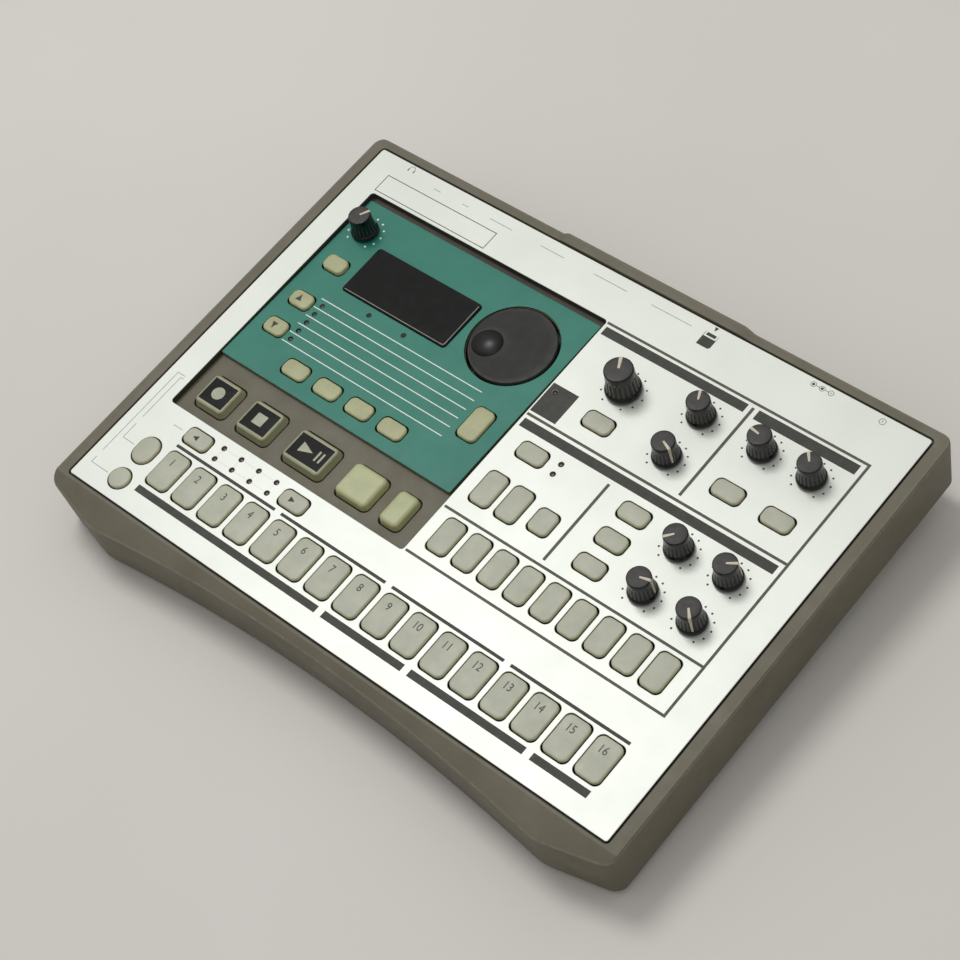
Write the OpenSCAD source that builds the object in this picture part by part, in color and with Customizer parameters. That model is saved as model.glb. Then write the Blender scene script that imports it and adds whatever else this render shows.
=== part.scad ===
// Table-top drum machine: a wedge-shaped two-part plastic case with a metal faceplate, a recessed
// coloured display panel with a data dial, ten rotary controls, transport keys, sixteen step keys
// and a row of sockets along the back.
//
// The controls are laid out in the panel frame: origin at the faceplate's front left corner, X to
// the right, Y to the back, Z out of the faceplate's top. on_panel() tilts that frame into the
// part's own frame, which has +Z up and its origin on the floor under the middle of the part.

/* [Faceplate] */
// Width of the control block to the right of the display block
block_w = 129.1; // [116:0.1:150]
// Width of the faceplate beyond the control block
face_side = 13.2; // [10:0.1:30]
// Depth of the faceplate behind the display block
face_back = 21.2; // [18:0.1:40]
// Thickness of the faceplate sheet
face_t = 1.5; // [1:0.1:2.5]
// Corner radius of the faceplate
face_r = 1.2; // [0.6:0.1:4]
// Groove between the faceplate's edge and the case rim
face_gap = 0.9; // [0.4:0.1:2]

/* [Case] */
// Slope of the faceplate, higher at the back
tilt = 3; // [0:0.5:8]
// Height of the faceplate's front edge above the floor
front_h = 31; // [30:0.5:50]
// Width of the rim beside the faceplate
side_rim = 6.65; // [5:0.05:15]
// Width of the rim behind the faceplate
back_rim = 5.2; // [4:0.1:15]
// Height of the bottom tray under the front wall
tray_front = 1; // [0.5:0.1:4]
// Thickness of the case walls
wall_t = 2.4; // [1.8:0.1:3.5]
// Thickness of the deck under the faceplate
deck_t = 2.5; // [2:0.1:2.7]
// Rounding of the rim's outer edge
edge_drop = 0.7; // [0.3:0.1:1.5]
// Radius of the case's plan corners at the back
back_corner_r = 5; // [2:0.5:8]
// Radius of the case's plan corners at the front
front_corner_r = 6; // [2:0.5:8]

/* [Front lip] */
// Reach of the front lip in the middle
lip_mid = 5.9; // [4:0.1:9]
// Reach of the front lip at its two shoulders
lip_peak = 14; // [10:0.1:20]
// Reach of the front lip at the case's corners
lip_end = 6.6; // [4:0.1:9]
// Distance of each shoulder from the side of the case
lip_shoulder = 31; // [20:1:60]
// Rounding of the shoulders in plan
shoulder_r = 25; // [5:1:40]
// How far the lip falls for each millimetre of reach
lip_fall = 0.28; // [0.1:0.01:0.5]
// How far the front wall slopes back below the lip
undercut = 0.4; // [0:0.1:3]

/* [Back bulge] */
// Left end of the raised stretch of the back rim
bulge_x0 = 100; // [80:1:140]
// Right end of the raised stretch of the back rim
bulge_x1 = 200; // [160:1:240]
// Height and reach of the raised stretch
bulge_out = 0.8; // [0.4:0.1:2]
// Length of the bevel at its right end
bulge_ramp = 6; // [2:0.5:10]

/* [Display block] */
// Left edge of the cut-out in the faceplate
win_x = 12.2; // [8:0.1:20]
// Front edge of the cut-out in the faceplate
win_y = 49.5; // [44:0.1:60]
// Width of the cut-out
win_w = 132.2; // [118:0.1:150]
// Depth of the cut-out
win_d = 129.7; // [116:0.1:150]
// How deep the plastic floor of the cut-out lies below the faceplate's top
win_drop = 3.3; // [2.6:0.1:3.8]
// Thickness of that plastic floor
win_floor_t = 2; // [1.5:0.1:2.3]
// Gap between the coloured display panel and the left side of the cut-out
green_left = 0.3; // [0.2:0.1:2]
// Gap between the coloured display panel and the right side of the cut-out
green_right = 2.5; // [0.3:0.1:3.5]
// Distance from the cut-out's back edge to the display panel
green_back = 2.4; // [0.5:0.1:5]
// Depth of the bare strip that carries the transport keys
strip_d = 30.8; // [28:0.1:36]
// How far the display panel's back edge lies below the faceplate's top
green_low = 2.6; // [2:0.1:2.9]
// How far the display panel's front edge lies below the faceplate's top
green_high = 1; // [0.5:0.1:2]
// Distance between the display window and the dial
lens_dial_gap = 4.95; // [2.5:0.05:10]
// Depth of the display window
lens_d = 25.4; // [20:0.1:28]
// How far the display window's face lies below the faceplate's top
lens_top = 1.2; // [0.6:0.1:1.8]

/* [Data dial] */
// Diameter of the data dial
dial_dia = 37.6; // [36:0.2:41]
// How far the dial's face lies below the faceplate's top
dial_top = 1.8; // [0.8:0.1:2.4]
// Thickness of the dial's disc
dial_t = 4; // [3.7:0.1:4.4]
// Gap around the dial
dial_gap = 1.2; // [0.6:0.1:1.4]
// Radius of the finger dimple's mouth
dimple_r = 6.7; // [4:0.1:7]
// Depth of the finger dimple
dimple_depth = 3; // [1:0.1:3.1]
// Distance of the finger dimple from the dial's axis
dimple_off = 10.8; // [8:0.1:11]

/* [Knobs] */
// Height of the small knobs above their flange's underside
knob_h = 11.3; // [8:0.1:16]
// Diameter of the small knobs' top face
knob_top = 9.4; // [7:0.1:11]
// Diameter of the small knobs' body at the flange
knob_body = 11; // [8:0.1:12]
// Diameter of the small knobs' flange
knob_flange = 12.4; // [11:0.1:13]
// How much larger the effect-type knob is
type_knob_scale = 1.25; // [1:0.05:1.3]
// Gap between a knob and the panel
knob_gap = 0.5; // [0.3:0.1:1]
// Diameter of the control shafts
shaft_d = 6; // [4:0.1:6.4]
// Radial running clearance of a shaft in its bush
shaft_clear = 0.05; // [0.02:0.01:0.09]

/* [Keys] */
// Distance from the faceplate's left edge to the middle of the first step key
step_left = 36.72; // [33:0.01:50]
// Distance from the middle of the last step key to the faceplate's right edge
step_right = 22.13; // [14:0.01:40]
// Space between neighbouring step keys
step_space = 2.79; // [2.2:0.01:6]
// Length of a step key
step_l = 18.5; // [14:0.1:19]
// Corner radius of the large keys
key_r = 2.6; // [1:0.1:3]
// How far the keys stand out of the faceplate
key_up = 1.2; // [0.8:0.1:2]
// Gap around every key
key_gap = 0.35; // [0.25:0.05:0.6]
// Travel of every key
key_travel = 0.8; // [0.4:0.1:0.9]
// Width of the small oblong keys
small_w = 14; // [10:0.1:14.6]
// Length of the small oblong keys
small_l = 8.5; // [6:0.1:9.5]
// Distance from the control block's left edge to the middle of the first part key
part_left = 11.15; // [8:0.05:20]
// Distance from the middle of the last part key to the control block's right edge
part_right = 12.35; // [6:0.05:24]
// Space between neighbouring part keys
part_space = 2.8; // [2.2:0.1:5]
// Length of the part keys
part_l = 16.8; // [12:0.1:17]
// Length of the transport keys
trans_l = 16.9; // [14:0.1:18]

/* [Boards and back] */
// Thickness of the circuit boards
board_t = 1.6; // [1:0.1:2]
// Depth of the panel board's top below the faceplate's top
board_z = 12; // [11.5:0.1:13]
// Depth of the main board's top below the faceplate's top
main_z = 22.2; // [22:0.1:23]
// Depth of the back sockets' centre line below the faceplate's top
socket_z = 14; // [13.5:0.1:14.5]
// Diameter of the jack plug's bore
jack_bore = 6.5; // [6.4:0.05:7]
// Diameter of the round five-pin sockets' mouth
din_bore = 15.2; // [14:0.1:16]
// Width of the card slot
card_w = 37.6; // [34:0.2:40]
// Height of the card slot
card_h = 2.4; // [1.6:0.1:3.6]
// Height of the rubber feet
foot_h = 3; // [2:0.5:5]
// Diameter of the rubber feet
foot_d = 14; // [10:0.5:18]

/* [Hidden] */
$fn = 48;
STEPS = 16;

// ---- Heights in the panel frame ----
wall_h = front_h - foot_h - tray_front;
deck_z = -face_t;
deck_under = deck_z - deck_t;
win_z = -win_drop;
win_under = win_z - win_floor_t;
stop_gap = 0.3;
flange_t = 1.2;
flange_out = 0.6;
stem_d = 4;
tact_size = 6;
tact_h = 3.4;
tact_pin_d = 3.2;
tact_pin_h = 0.5;
press_room = 0.2;
stem_end = -board_z + tact_h + tact_pin_h + key_travel + press_room;
cut = 1;

// ---- Sizes of the faceplate, and places given as shares of its parts ----
face_w = win_x + win_w + block_w + face_side;
face_d = win_y + win_d + face_back;
function in_window(u, v) = [win_x + u * win_w, win_y + v * win_d];
function in_block(u, v) = [win_x + win_w + u * block_w, win_y + v * win_d];
function across(u) = u * face_w;

// ---- Plan of the case ----
half_w = face_w / 2 + side_rim;
mid_x = face_w / 2;
back_y = face_d + back_rim;
shoulder_u = half_w - lip_shoulder;
lip_bow = shoulder_u * shoulder_u / (2 * (lip_peak - lip_mid));
lip_start = face_gap + 0.7;
draft = 0.4;
bow_steps = 20;

// ---- Display block ----
lens_gap = 0.15;
lens_ledge = 2;
dial_under = -dial_top - dial_t;
green_w = win_w - green_left - green_right;
green_x = win_x + green_left;
green_y1 = win_y + win_d - green_back;
green_y0 = win_y + strip_d;
green_d = green_y1 - green_y0;
dial_c = in_window(0.79501, 0.77101);
lens_c = in_window(0.39334, 0.74171);
lens_w = 2 * (dial_c[0] - dial_dia / 2 - lens_dial_gap - lens_c[0]);
lens_r = 1.6;
module_out = 0.6;
dimple_angle = 205.8;

// ---- Rotary controls ----
volume_c = in_window(0.08018, 0.86738);
type_c = in_block(0.20991, 0.81804);
edit_u = 0.47405;
send_u = [0.70256, 0.88304];
send_v = 0.86584;
SMALL_KNOBS = [in_block(edit_u, 0.86662), in_block(edit_u, 0.69545),
    in_block(send_u[0], send_v), in_block(send_u[1], send_v),
    in_block(send_u[0], 0.46029), in_block(send_u[1], 0.46029),
    in_block(send_u[0], 0.28836), in_block(send_u[1], 0.28836)];
PANEL_POTS = concat([type_c], SMALL_KNOBS);
pot_w = 11;
pot_h = 6.2;
dial_pot_h = 4;
bush_d = 8;
bush_gap = 0.3;
bush_drop = 0.2;
shaft_floor = 1.2;

// ---- Keys: [x, y, width, length, corner radius] ----
function key(c, w, l, r) = [c[0], c[1], w, l, r];
step_pitch = (face_w - step_left - step_right) / (STEPS - 1);
step_w = step_pitch - step_space;
function in_steps(i, v) = [step_left + i * step_pitch, v * win_y];
part_count = 9;
part_pitch = (block_w - part_left - part_right) / (part_count - 1);
part_w = part_pitch - part_space;
part_y = win_y + 0.10948 * win_d;
function part_place(i, y) = [win_x + win_w + part_left + i * part_pitch, y];
slice_y = win_y + 0.31072 * win_d;
accent_l = 11.8;
function_u = 0.51665;
column_w = 11.8;
mode_w = 13.6;
oval_w = 10.8;
oval_l = 13.9;
round_d = 10.4;
side_key_x = 21.2;
key_small_r = 2.5;
STEP_KEYS = [for (i = [0:STEPS - 1]) key(in_steps(i, 0.4727), step_w, step_l, key_r)];
PART_KEYS = [for (i = [0:part_count - 1]) key(part_place(i, part_y), part_w, part_l, key_small_r)];
SLICE_KEYS = [key(part_place(0, slice_y), part_w, part_l, key_small_r),
    key(part_place(1, slice_y), part_w, part_l, key_small_r),
    key(part_place(2.1174, slice_y), part_w, accent_l, key_small_r)];
FUNCTION_KEYS = [for (c = [in_block(0.21998, 0.67926), in_block(send_u[0], 0.69545),
    in_block(send_u[1], 0.69545), in_block(0.11851, 0.48034), in_block(function_u, 0.48034),
    in_block(function_u, 0.37471), in_block(function_u, 0.26985)])
    key(c, small_w, small_l, key_small_r)];
SELECT_KEYS = [key(in_steps(0, 0.8404), small_w, small_l, key_small_r),
    key(in_steps(3.6524, 0.8404), small_w, small_l, key_small_r),
    key([side_key_x, 0.5172 * win_y], oval_w, oval_l, oval_w / 2 - 0.1),
    key([side_key_x, 0.1939 * win_y], round_d, round_d, round_d / 2 - 0.1)];
MODE_KEYS = [for (u = [0.26551, 0.40393, 0.54236, 0.68003])
    key(in_window(u, 0.31611), mode_w, small_l, key_small_r)];
COLUMN_KEYS = [for (v = [0.70779, 0.53739, 0.41095])
    key(in_window(0.08926, v), column_w, small_l, key_small_r)];
write_w = 10.4;
WRITE_KEYS = [key(in_window(0.89259, 0.47417), write_w, part_l, key_small_r)];
trans_v = 0.10640;
record_w = 17.7;
stop_w = 18.6;
play_w = 22.6;
tap_w = 18.2;
hold_w = 11;
RECORD_KEYS = [key(in_window(0.11649, trans_v), record_w, trans_l, key_r)];
STOP_KEYS = [key(in_window(0.30257, trans_v), stop_w, trans_l, key_r)];
PLAY_KEYS = [key(in_window(0.52269, trans_v), play_w, trans_l, key_r)];
TAP_KEYS = [key(in_window(0.73601, trans_v), tap_w, trans_l, key_r)];
HOLD_KEYS = [key(in_window(0.89259, trans_v), hold_w, trans_l, key_r)];
FACE_KEYS = concat(PART_KEYS, SLICE_KEYS, FUNCTION_KEYS, SELECT_KEYS, STEP_KEYS);
GREEN_KEYS = concat(MODE_KEYS, COLUMN_KEYS, WRITE_KEYS);
TRANSPORT_KEYS = concat(RECORD_KEYS, STOP_KEYS, PLAY_KEYS, TAP_KEYS, HOLD_KEYS);
green_key_up = -0.3;
transport_up = 0.1;

// ---- Lamps: [x, y] ----
lamp_d = 2;
lamp_gap = 0.2;
GRID_LAMPS = [for (i = [0.8150, 1.4799, 2.1448, 2.8163], v = [0.9030, 0.7838]) in_steps(i, v)];
FACE_LAMPS = concat(GRID_LAMPS, [in_block(0.21689, 0.50116), in_block(0.21689, 0.46029),
    in_block(0.03176, 0.69699)]);
ROW_LAMPS = [for (i = [0:4]) in_window(0.16339, 0.55667 - i * 0.03894)];
GREEN_LAMPS = concat(ROW_LAMPS, [in_window(0.32073, 0.61218), in_window(0.47050, 0.61218)]);

// ---- Boards, screws and back sockets ----
jack_l = 24;
inner_back = back_y - wall_t;
board_x0 = 9;
board_y0 = 5;
board_back_gap = 6.8;
board_w = face_w - 2 * board_x0;
board_d = inner_back - jack_l - board_back_gap - board_y0;
cable_w = 28;
cable_y = 12;
plug_w = 5;
plug_h = 2;
CHIPS = [0.17, 0.33, 0.52, 0.7];
chip_w = 22;
chip_h = 2.4;
chip_y = 30;
main_x0 = 8;
main_y0 = 62;
case_screw_in = 2.2;
CASE_SCREWS = [for (x = [case_screw_in, face_w - case_screw_in], y = [win_y + 16.5, face_d - 30]) [x, y]];
board_screw_in = 4;
BOARD_SCREWS = [for (x = [board_x0 + board_screw_in, board_x0 + board_w - board_screw_in],
    y = [win_y - 3.5, board_y0 + board_d - board_screw_in]) [x, y]];
MAIN_SCREWS = [for (x = [main_x0 + 7, face_w - main_x0 - 7], y = [main_y0 + 6, face_d - 34]) [x, y]];
boss_d = 7.6;
post_d = 6;
screw_d = 2.8;
screw_fit = 0.1;
screw_clear = 0.7;
screw_head_d = 5.6;
screw_head_h = 2;
screw_seat = 2.4;
screw_bite = 8;
small_screw_d = 2;
small_head_d = 4;
small_head_h = 1.4;
small_bite = 5;
main_d = inner_back - 1.5 - main_y0;
JACK_X = [across(0.06732), across(0.14196), across(0.18975), across(0.26334)];
jack_w = 12.6;
jack_ring_d = 10.6;
jack_nose = 0.8;
hole_gap = 0.3;
trim_x = across(0.30589);
trim_body_w = 10;
trim_body_l = 12;
trim_bore_l = 8;
body_back = 1;
body_up = 5;
switch_body_l = 6;
power_body_l = 11;
trim_knob_d = 6.6;
trim_shaft_d = 3;
switch_x = across(0.35124);
switch_body_w = 10;
switch_nub = 3.6;
switch_travel = 3;
switch_nub_h = 3.2;
switch_out = 1.2;
DIN_X = [across(0.43879), across(0.51517), across(0.59400)];
din_w = 19.6;
din_l = 15;
din_depth = 8;
din_core_d = 11.8;
din_top_gap = 1.2;
din_pin_d = 1.6;
din_pin_r = 4.4;
card_x = across(0.71503);
card_l = 30;
dc_x = across(0.84304);
dc_w = 9;
dc_l = 14;
dc_bore = 5.6;
dc_pin_d = 2;
power_x = across(0.92675);
power_body_w = 11;
power_w = 9;
power_travel = 1.5;
power_back = inner_back - 2 * stop_gap - flange_t - power_travel;
back_part_h = 10;
control_out = 3.2;
floor_t = 2.2;
base_in = 11;
base_front_in = 15;
foot_in = 24;

// ---- The part's own frame ----
front_reach_y = min([for (q = plan()) q[1] * cos(tilt) - crease_ring(q)[2] * sin(tilt)]);
back_reach_y = (back_y + control_out) * cos(tilt) + (socket_z + power_w / 2) * sin(tilt);
origin_y = -(front_reach_y + back_reach_y) / 2;
foot_front = min([for (q = plan()) foot_ring(q)[1]]);
foot_back_y = origin_y + back_y * cos(tilt) + wall_h * sin(tilt);
base_y0 = origin_y + base_front_in;
base_y1 = foot_back_y - base_in;

// ================= helpers =================

// Places children of the panel frame in the part's own frame.
module on_panel() {
    translate([-mid_x, origin_y, front_h]) rotate([tilt, 0, 0]) children();
}

function unit(v) = v / norm(v);
function turn_to(a, b) = let (d = b - a) d > 180 ? d - 360 : (d < -180 ? d + 360 : d);

// Points of one rounded corner p between neighbours a and b.
function corner(p, a, b, r, n) = let (u = unit(a - p), v = unit(b - p), half = acos(u * v) / 2,
    c = p + unit(u + v) * r / sin(half), t1 = p + u * r / tan(half) - c, t2 = p + v * r / tan(half) - c,
    a1 = atan2(t1[1], t1[0]), da = turn_to(a1, atan2(t2[1], t2[0])))
    [for (i = [0:n]) c + r * [cos(a1 + da * i / n), sin(a1 + da * i / n)]];

// Reach of the lip's bowed middle at a distance u from the case's centre line.
function bow(u) = -(lip_mid + u * u / (2 * lip_bow));

// Right half of the case's plan from the front centre to the back centre, about x = 0.
function half_plan() = let (peak = [shoulder_u, -lip_peak], end = [half_w, -lip_end],
    before = [shoulder_u - 10, bow(shoulder_u - 10)])
    concat([for (i = [0:bow_steps - 2]) let (u = (shoulder_u - 6) * i / (bow_steps - 2)) [u, bow(u)]],
        corner(peak, before, end, shoulder_r, 6),
        corner(end, peak, [half_w, back_y], front_corner_r, 6),
        corner([half_w, back_y], end, [0, back_y], back_corner_r, 6));

function plan() = let (h = half_plan(), n = len(h))
    concat(h, [for (i = [n - 1:-1:1]) [-h[i][0], h[i][1]]]);

// The three rings of the case's skin: flat rim, crease and foot of the wall.
function rim_ring(p) = [p[0] * (half_w - edge_drop) / half_w,
    p[1] < -lip_start ? -lip_start : min(p[1], back_y - edge_drop), 0];
function crease_ring(p) = [p[0], p[1], -edge_drop - lip_fall * max(0, -lip_start - p[1])];
function foot_ring(p) = [p[0] * (half_w - draft) / half_w,
    p[1] + undercut * min(1, max(0, -p[1]) / lip_end), -wall_h];
function inner_ring(p) = [p[0] * (half_w - draft - wall_t) / half_w,
    p[1] < 0 ? p[1] + undercut + wall_t : min(p[1], inner_back)];

// A solid skinned over rings of n points each, closed by a fan of triangles at both ends.
module skin(rings, top_hub, bottom_hub) {
    n = len(rings[0]);
    m = len(rings);
    points = concat([for (r = rings) for (p = r) p], [top_hub, bottom_hub]);
    sides = [for (k = [0:m - 2]) for (i = [0:n - 1]) let (a = k * n + i, b = k * n + (i + 1) % n)
        each [[a, b, b + n], [a, b + n, a + n]]];
    top = [for (i = [0:n - 1]) [m * n, (i + 1) % n, i]];
    bottom = [for (i = [0:n - 1]) [m * n + 1, (m - 1) * n + i, (m - 1) * n + (i + 1) % n]];
    polyhedron(points, concat(sides, top, bottom), convexity = 8);
}

// Points of a rounded rectangle about the origin, n steps to a corner.
function rounded(w, l, r, n) = let (q = min(r, min(w, l) / 2 - 0.02))
    [for (c = [0:3]) for (i = [0:n]) let (a = 90 * (c + i / n))
        [(c == 0 || c == 3 ? 1 : -1) * (w / 2 - q) + q * cos(a),
            (c < 2 ? 1 : -1) * (l / 2 - q) + q * sin(a)]];

module rounded_rect(w, l, r, n = 5) {
    polygon(rounded(w, l, r, n));
}

// A rounded block between two heights, grown by g on each side.
module key_block(k, z0, z1, g = 0) {
    translate([k[0], k[1], z0]) linear_extrude(z1 - z0)
        rounded_rect(k[2] + 2 * g, k[3] + 2 * g, k[4] + g, 4);
}

// The same block with square corners.
module key_box(k, z0, z1, g) {
    box([k[0] - k[2] / 2 - g, k[1] - k[3] / 2 - g, z0],
        [k[0] + k[2] / 2 + g, k[1] + k[3] / 2 + g, z1]);
}

module at(c, z) {
    translate([c[0], c[1], z]) children();
}

module post(c, z0, z1, d) {
    at(c, z0) cylinder(h = z1 - z0, d = d);
}

// A box given by its low and high corners.
module box(lo, hi) {
    translate(lo) cube(hi - lo);
}

// A cylinder along the panel's Y axis from y0 to y1.
module along_y(x, z, y0, y1, d) {
    translate([x, y0, z]) rotate([-90, 0, 0]) cylinder(h = y1 - y0, d = d);
}

// Height of the display panel's sloping face at a given y.
function green_z(y) = -green_high - (green_low - green_high) * (y - green_y0) / green_d;

// ================= case =================

module case_skin() {
    p = plan();
    translate([mid_x, 0, 0]) skin([[for (q = p) rim_ring(q)], [for (q = p) crease_ring(q)],
        [for (q = p) foot_ring(q)]], [0, back_y / 2, 0], [0, back_y / 2, -wall_h]);
}

// The raised stretch of the back rim, with a steep left end and a long bevel on the right.
module back_bulge() {
    translate([0, back_y + bulge_out, 0]) rotate([90, 0, 0]) linear_extrude(back_rim + bulge_out - face_gap)
        polygon([[bulge_x0, -socket_z], [bulge_x0, 0], [bulge_x0 + 2, bulge_out],
            [bulge_x1 - bulge_ramp, bulge_out], [bulge_x1, 0], [bulge_x1, -socket_z]]);
}

// Everything that passes through the back wall.
module back_holes() {
    y0 = inner_back - cut;
    y1 = back_y + bulge_out + cut;
    for (x = JACK_X) along_y(x, -socket_z, y0, y1, jack_ring_d + 2 * hole_gap);
    for (x = DIN_X) along_y(x, -socket_z, y0, y1, din_bore + 2 * hole_gap);
    along_y(trim_x, -socket_z, y0, y1, trim_knob_d + 2 * hole_gap);
    back_box(switch_x, switch_nub + switch_travel, switch_nub, y0, y1, hole_gap);
    back_box(card_x, card_w, card_h, y0, y1, hole_gap);
    back_box(dc_x, dc_w, back_part_h, y0, y1, hole_gap);
    back_box(power_x, power_w, power_w, y0, y1, key_gap);
}

// A box about the sockets' centre line, w wide and h high, grown by g on each side.
module back_box(x, w, h, y0, y1, g = 0) {
    box([x - w / 2 - g, y0, -socket_z - h / 2 - g], [x + w / 2 + g, y1, -socket_z + h / 2 + g]);
}

module top_case() {
    color([0.36, 0.345, 0.31]) on_panel() difference() {
        union() {
            difference() {
                union() {
                    case_skin();
                    back_bulge();
                }
                translate([mid_x, 0, -wall_h - cut]) linear_extrude(wall_h + cut + deck_under)
                    polygon([for (q = plan()) inner_ring(q)]);
                translate([mid_x, face_d / 2, deck_z]) linear_extrude(face_t + cut)
                    rounded_rect(face_w + 2 * face_gap, face_d + 2 * face_gap, face_r + face_gap);
                back_holes();
            }
            box([win_x - wall_t, win_y - wall_t, win_under],
                [win_x + win_w + wall_t, win_y + win_d + wall_t, deck_under + 0.1]);
            for (c = CASE_SCREWS) post(c, -wall_h, deck_under + 0.1, boss_d);
            for (c = BOARD_SCREWS) post(c, -board_z, deck_under + 0.1, post_d);
        }
        box([win_x, win_y, win_z], [win_x + win_w, win_y + win_d, cut]);
        for (k = FACE_KEYS) key_box(k, deck_under - cut, cut, key_gap);
        for (k = GREEN_KEYS) key_box(k, win_under - cut, cut, key_gap);
        for (k = TRANSPORT_KEYS) key_block(k, win_under - cut, cut, key_gap);
        for (c = concat(FACE_LAMPS, GREEN_LAMPS)) post(c, win_under - cut, cut, lamp_d + 2 * lamp_gap);
        for (c = concat(PANEL_POTS, [volume_c])) post(c, win_under - cut, cut, bush_d + 2 * bush_gap);
        post(dial_c, win_under - cut, cut, dial_dia + 2 * dial_gap);
        box([lens_c[0] - lens_w / 2 + lens_ledge, lens_c[1] - lens_d / 2 + lens_ledge, win_under - cut],
            [lens_c[0] + lens_w / 2 - lens_ledge, lens_c[1] + lens_d / 2 - lens_ledge, cut]);
        for (c = CASE_SCREWS) post(c, -wall_h - cut, -wall_h + screw_bite + 1, screw_d + screw_fit);
        for (c = BOARD_SCREWS) post(c, -board_z - cut, -board_z + small_bite + 1, small_screw_d + screw_fit);
    }
}

// A point of the panel frame, about the middle in X, in the part's own frame.
function in_world(p) = [p[0], origin_y + p[1] * cos(tilt) - p[2] * sin(tilt),
    front_h + p[1] * sin(tilt) + p[2] * cos(tilt)];

// The case's plan squeezed towards the middle: y0 and y1 are its new front and back.
function squeeze(q, y0, y1, inset) = [q[0] * (half_w - inset) / half_w,
    y0 + (y1 - y0) * (q[1] - foot_front) / (back_y - foot_front)];

// The tray between the foot of the walls and the flat base, shrunk by an inset and lifted.
module tray(inset, lift) {
    p = [for (q = plan()) foot_ring(q)];
    rim = [for (q = p) let (r = squeeze(q, foot_front + inset, back_y - inset, inset))
        in_world([r[0], r[1], -wall_h]) + [0, 0, lift]];
    base = [for (q = p) let (r = squeeze(q, base_y0 + inset, base_y1 - inset, base_in + inset))
        [r[0], r[1], foot_h + lift]];
    skin([rim, base], in_world([0, back_y / 2, -wall_h]) + [0, 0, lift],
        [0, (base_y0 + base_y1) / 2, foot_h + lift]);
}

// Height in the panel frame of the middle of the tray's floor at a given y.
function floor_z(y) = (foot_h + floor_t / 2 - front_h - y * sin(tilt)) / cos(tilt);

module bottom_case() {
    color([0.32, 0.305, 0.27]) difference() {
        union() {
            difference() {
                tray(0, 0);
                difference() {
                    tray(floor_t, floor_t);
                    on_panel() for (c = CASE_SCREWS) post(c, -wall_h - front_h, cut, boss_d);
                }
            }
            on_panel() for (c = MAIN_SCREWS) post(c, floor_z(c[1]), -main_z - board_t, post_d);
        }
        on_panel() for (c = CASE_SCREWS) at(c, -wall_h - front_h) rotate_extrude() polygon([[0, 0],
            [(screw_head_d + screw_clear) / 2, 0], [(screw_head_d + screw_clear) / 2, front_h - screw_seat],
            [(screw_d + screw_clear) / 2, front_h - screw_seat], [(screw_d + screw_clear) / 2, front_h + cut],
            [0, front_h + cut]]);
        on_panel() for (c = MAIN_SCREWS)
            post(c, -main_z - board_t - small_bite - 1, -main_z, small_screw_d + screw_fit);
    }
}

// ================= panel =================

module faceplate() {
    color([0.87, 0.875, 0.85]) on_panel() difference() {
        translate([mid_x, face_d / 2, -face_t]) linear_extrude(face_t) rounded_rect(face_w, face_d, face_r);
        translate([win_x + win_w / 2, win_y + win_d / 2, -face_t - cut]) linear_extrude(face_t + 2 * cut)
            rounded_rect(win_w, win_d, 1.6);
        for (k = FACE_KEYS) key_block(k, -face_t - cut, cut, key_gap);
        for (c = FACE_LAMPS) post(c, -face_t - cut, cut, lamp_d + 2 * lamp_gap);
        for (c = PANEL_POTS) post(c, -face_t - cut, cut, bush_d + 2 * bush_gap);
    }
}

module display_panel() {
    color([0.23, 0.52, 0.46]) on_panel() difference() {
        translate([green_x, 0, 0]) rotate([90, 0, 90]) linear_extrude(green_w)
            polygon([[green_y0, win_z], [green_y1, win_z], [green_y1, -green_low], [green_y0, -green_high]]);
        for (k = GREEN_KEYS) key_block(k, win_z - cut, cut, key_gap);
        for (c = GREEN_LAMPS) post(c, win_z - cut, cut, lamp_d + 2 * lamp_gap);
        post(volume_c, win_z - cut, cut, bush_d + 2 * bush_gap);
        post(dial_c, win_z - cut, cut, dial_dia + 2 * dial_gap);
        translate([lens_c[0], lens_c[1], win_z - cut]) linear_extrude(win_drop + 2 * cut)
            rounded_rect(lens_w + 2 * lens_gap, lens_d + 2 * lens_gap, lens_r);
    }
}

module display_lens() {
    color([0.1, 0.07, 0.05]) on_panel() translate([lens_c[0], lens_c[1], win_z])
        linear_extrude(win_drop - lens_top) rounded_rect(lens_w, lens_d, lens_r);
}

module display_module() {
    color([0.2, 0.22, 0.2]) on_panel()
        box([lens_c[0] - lens_w / 2 - module_out, lens_c[1] - lens_d / 2 - module_out, -board_z],
            [lens_c[0] + lens_w / 2 + module_out, lens_c[1] + lens_d / 2 + module_out, win_under]);
}

// ================= electronics =================

module panel_board() {
    color([0.12, 0.35, 0.18]) on_panel() difference() {
        box([board_x0, board_y0, -board_z - board_t], [board_x0 + board_w, board_y0 + board_d, -board_z]);
        for (c = BOARD_SCREWS) post(c, -board_z - board_t - cut, -board_z + cut, small_screw_d + screw_clear);
    }
}

module main_board() {
    color([0.12, 0.35, 0.18]) on_panel() difference() {
        union() {
            box([main_x0, main_y0, -main_z - board_t], [face_w - main_x0, main_y0 + main_d, -main_z]);
            for (u = CHIPS) box([across(u), main_y0 + chip_y, -main_z - 0.1],
                [across(u) + chip_w, main_y0 + chip_y + chip_w, -main_z + chip_h]);
        }
        for (c = MAIN_SCREWS) post(c, -main_z - board_t - cut, -main_z + cut, small_screw_d + screw_clear);
    }
}

// A rotary control: body on the panel board, threaded bush and the bore its shaft runs in.
module pot(c, top, h = pot_h) {
    difference() {
        union() {
            translate([c[0] - pot_w / 2, c[1] - pot_w / 2, -board_z]) cube([pot_w, pot_w, h]);
            post(c, -board_z + h - 0.1, top, bush_d);
        }
        post(c, -board_z + shaft_floor, cut, shaft_d + 2 * shaft_clear);
    }
}

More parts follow.
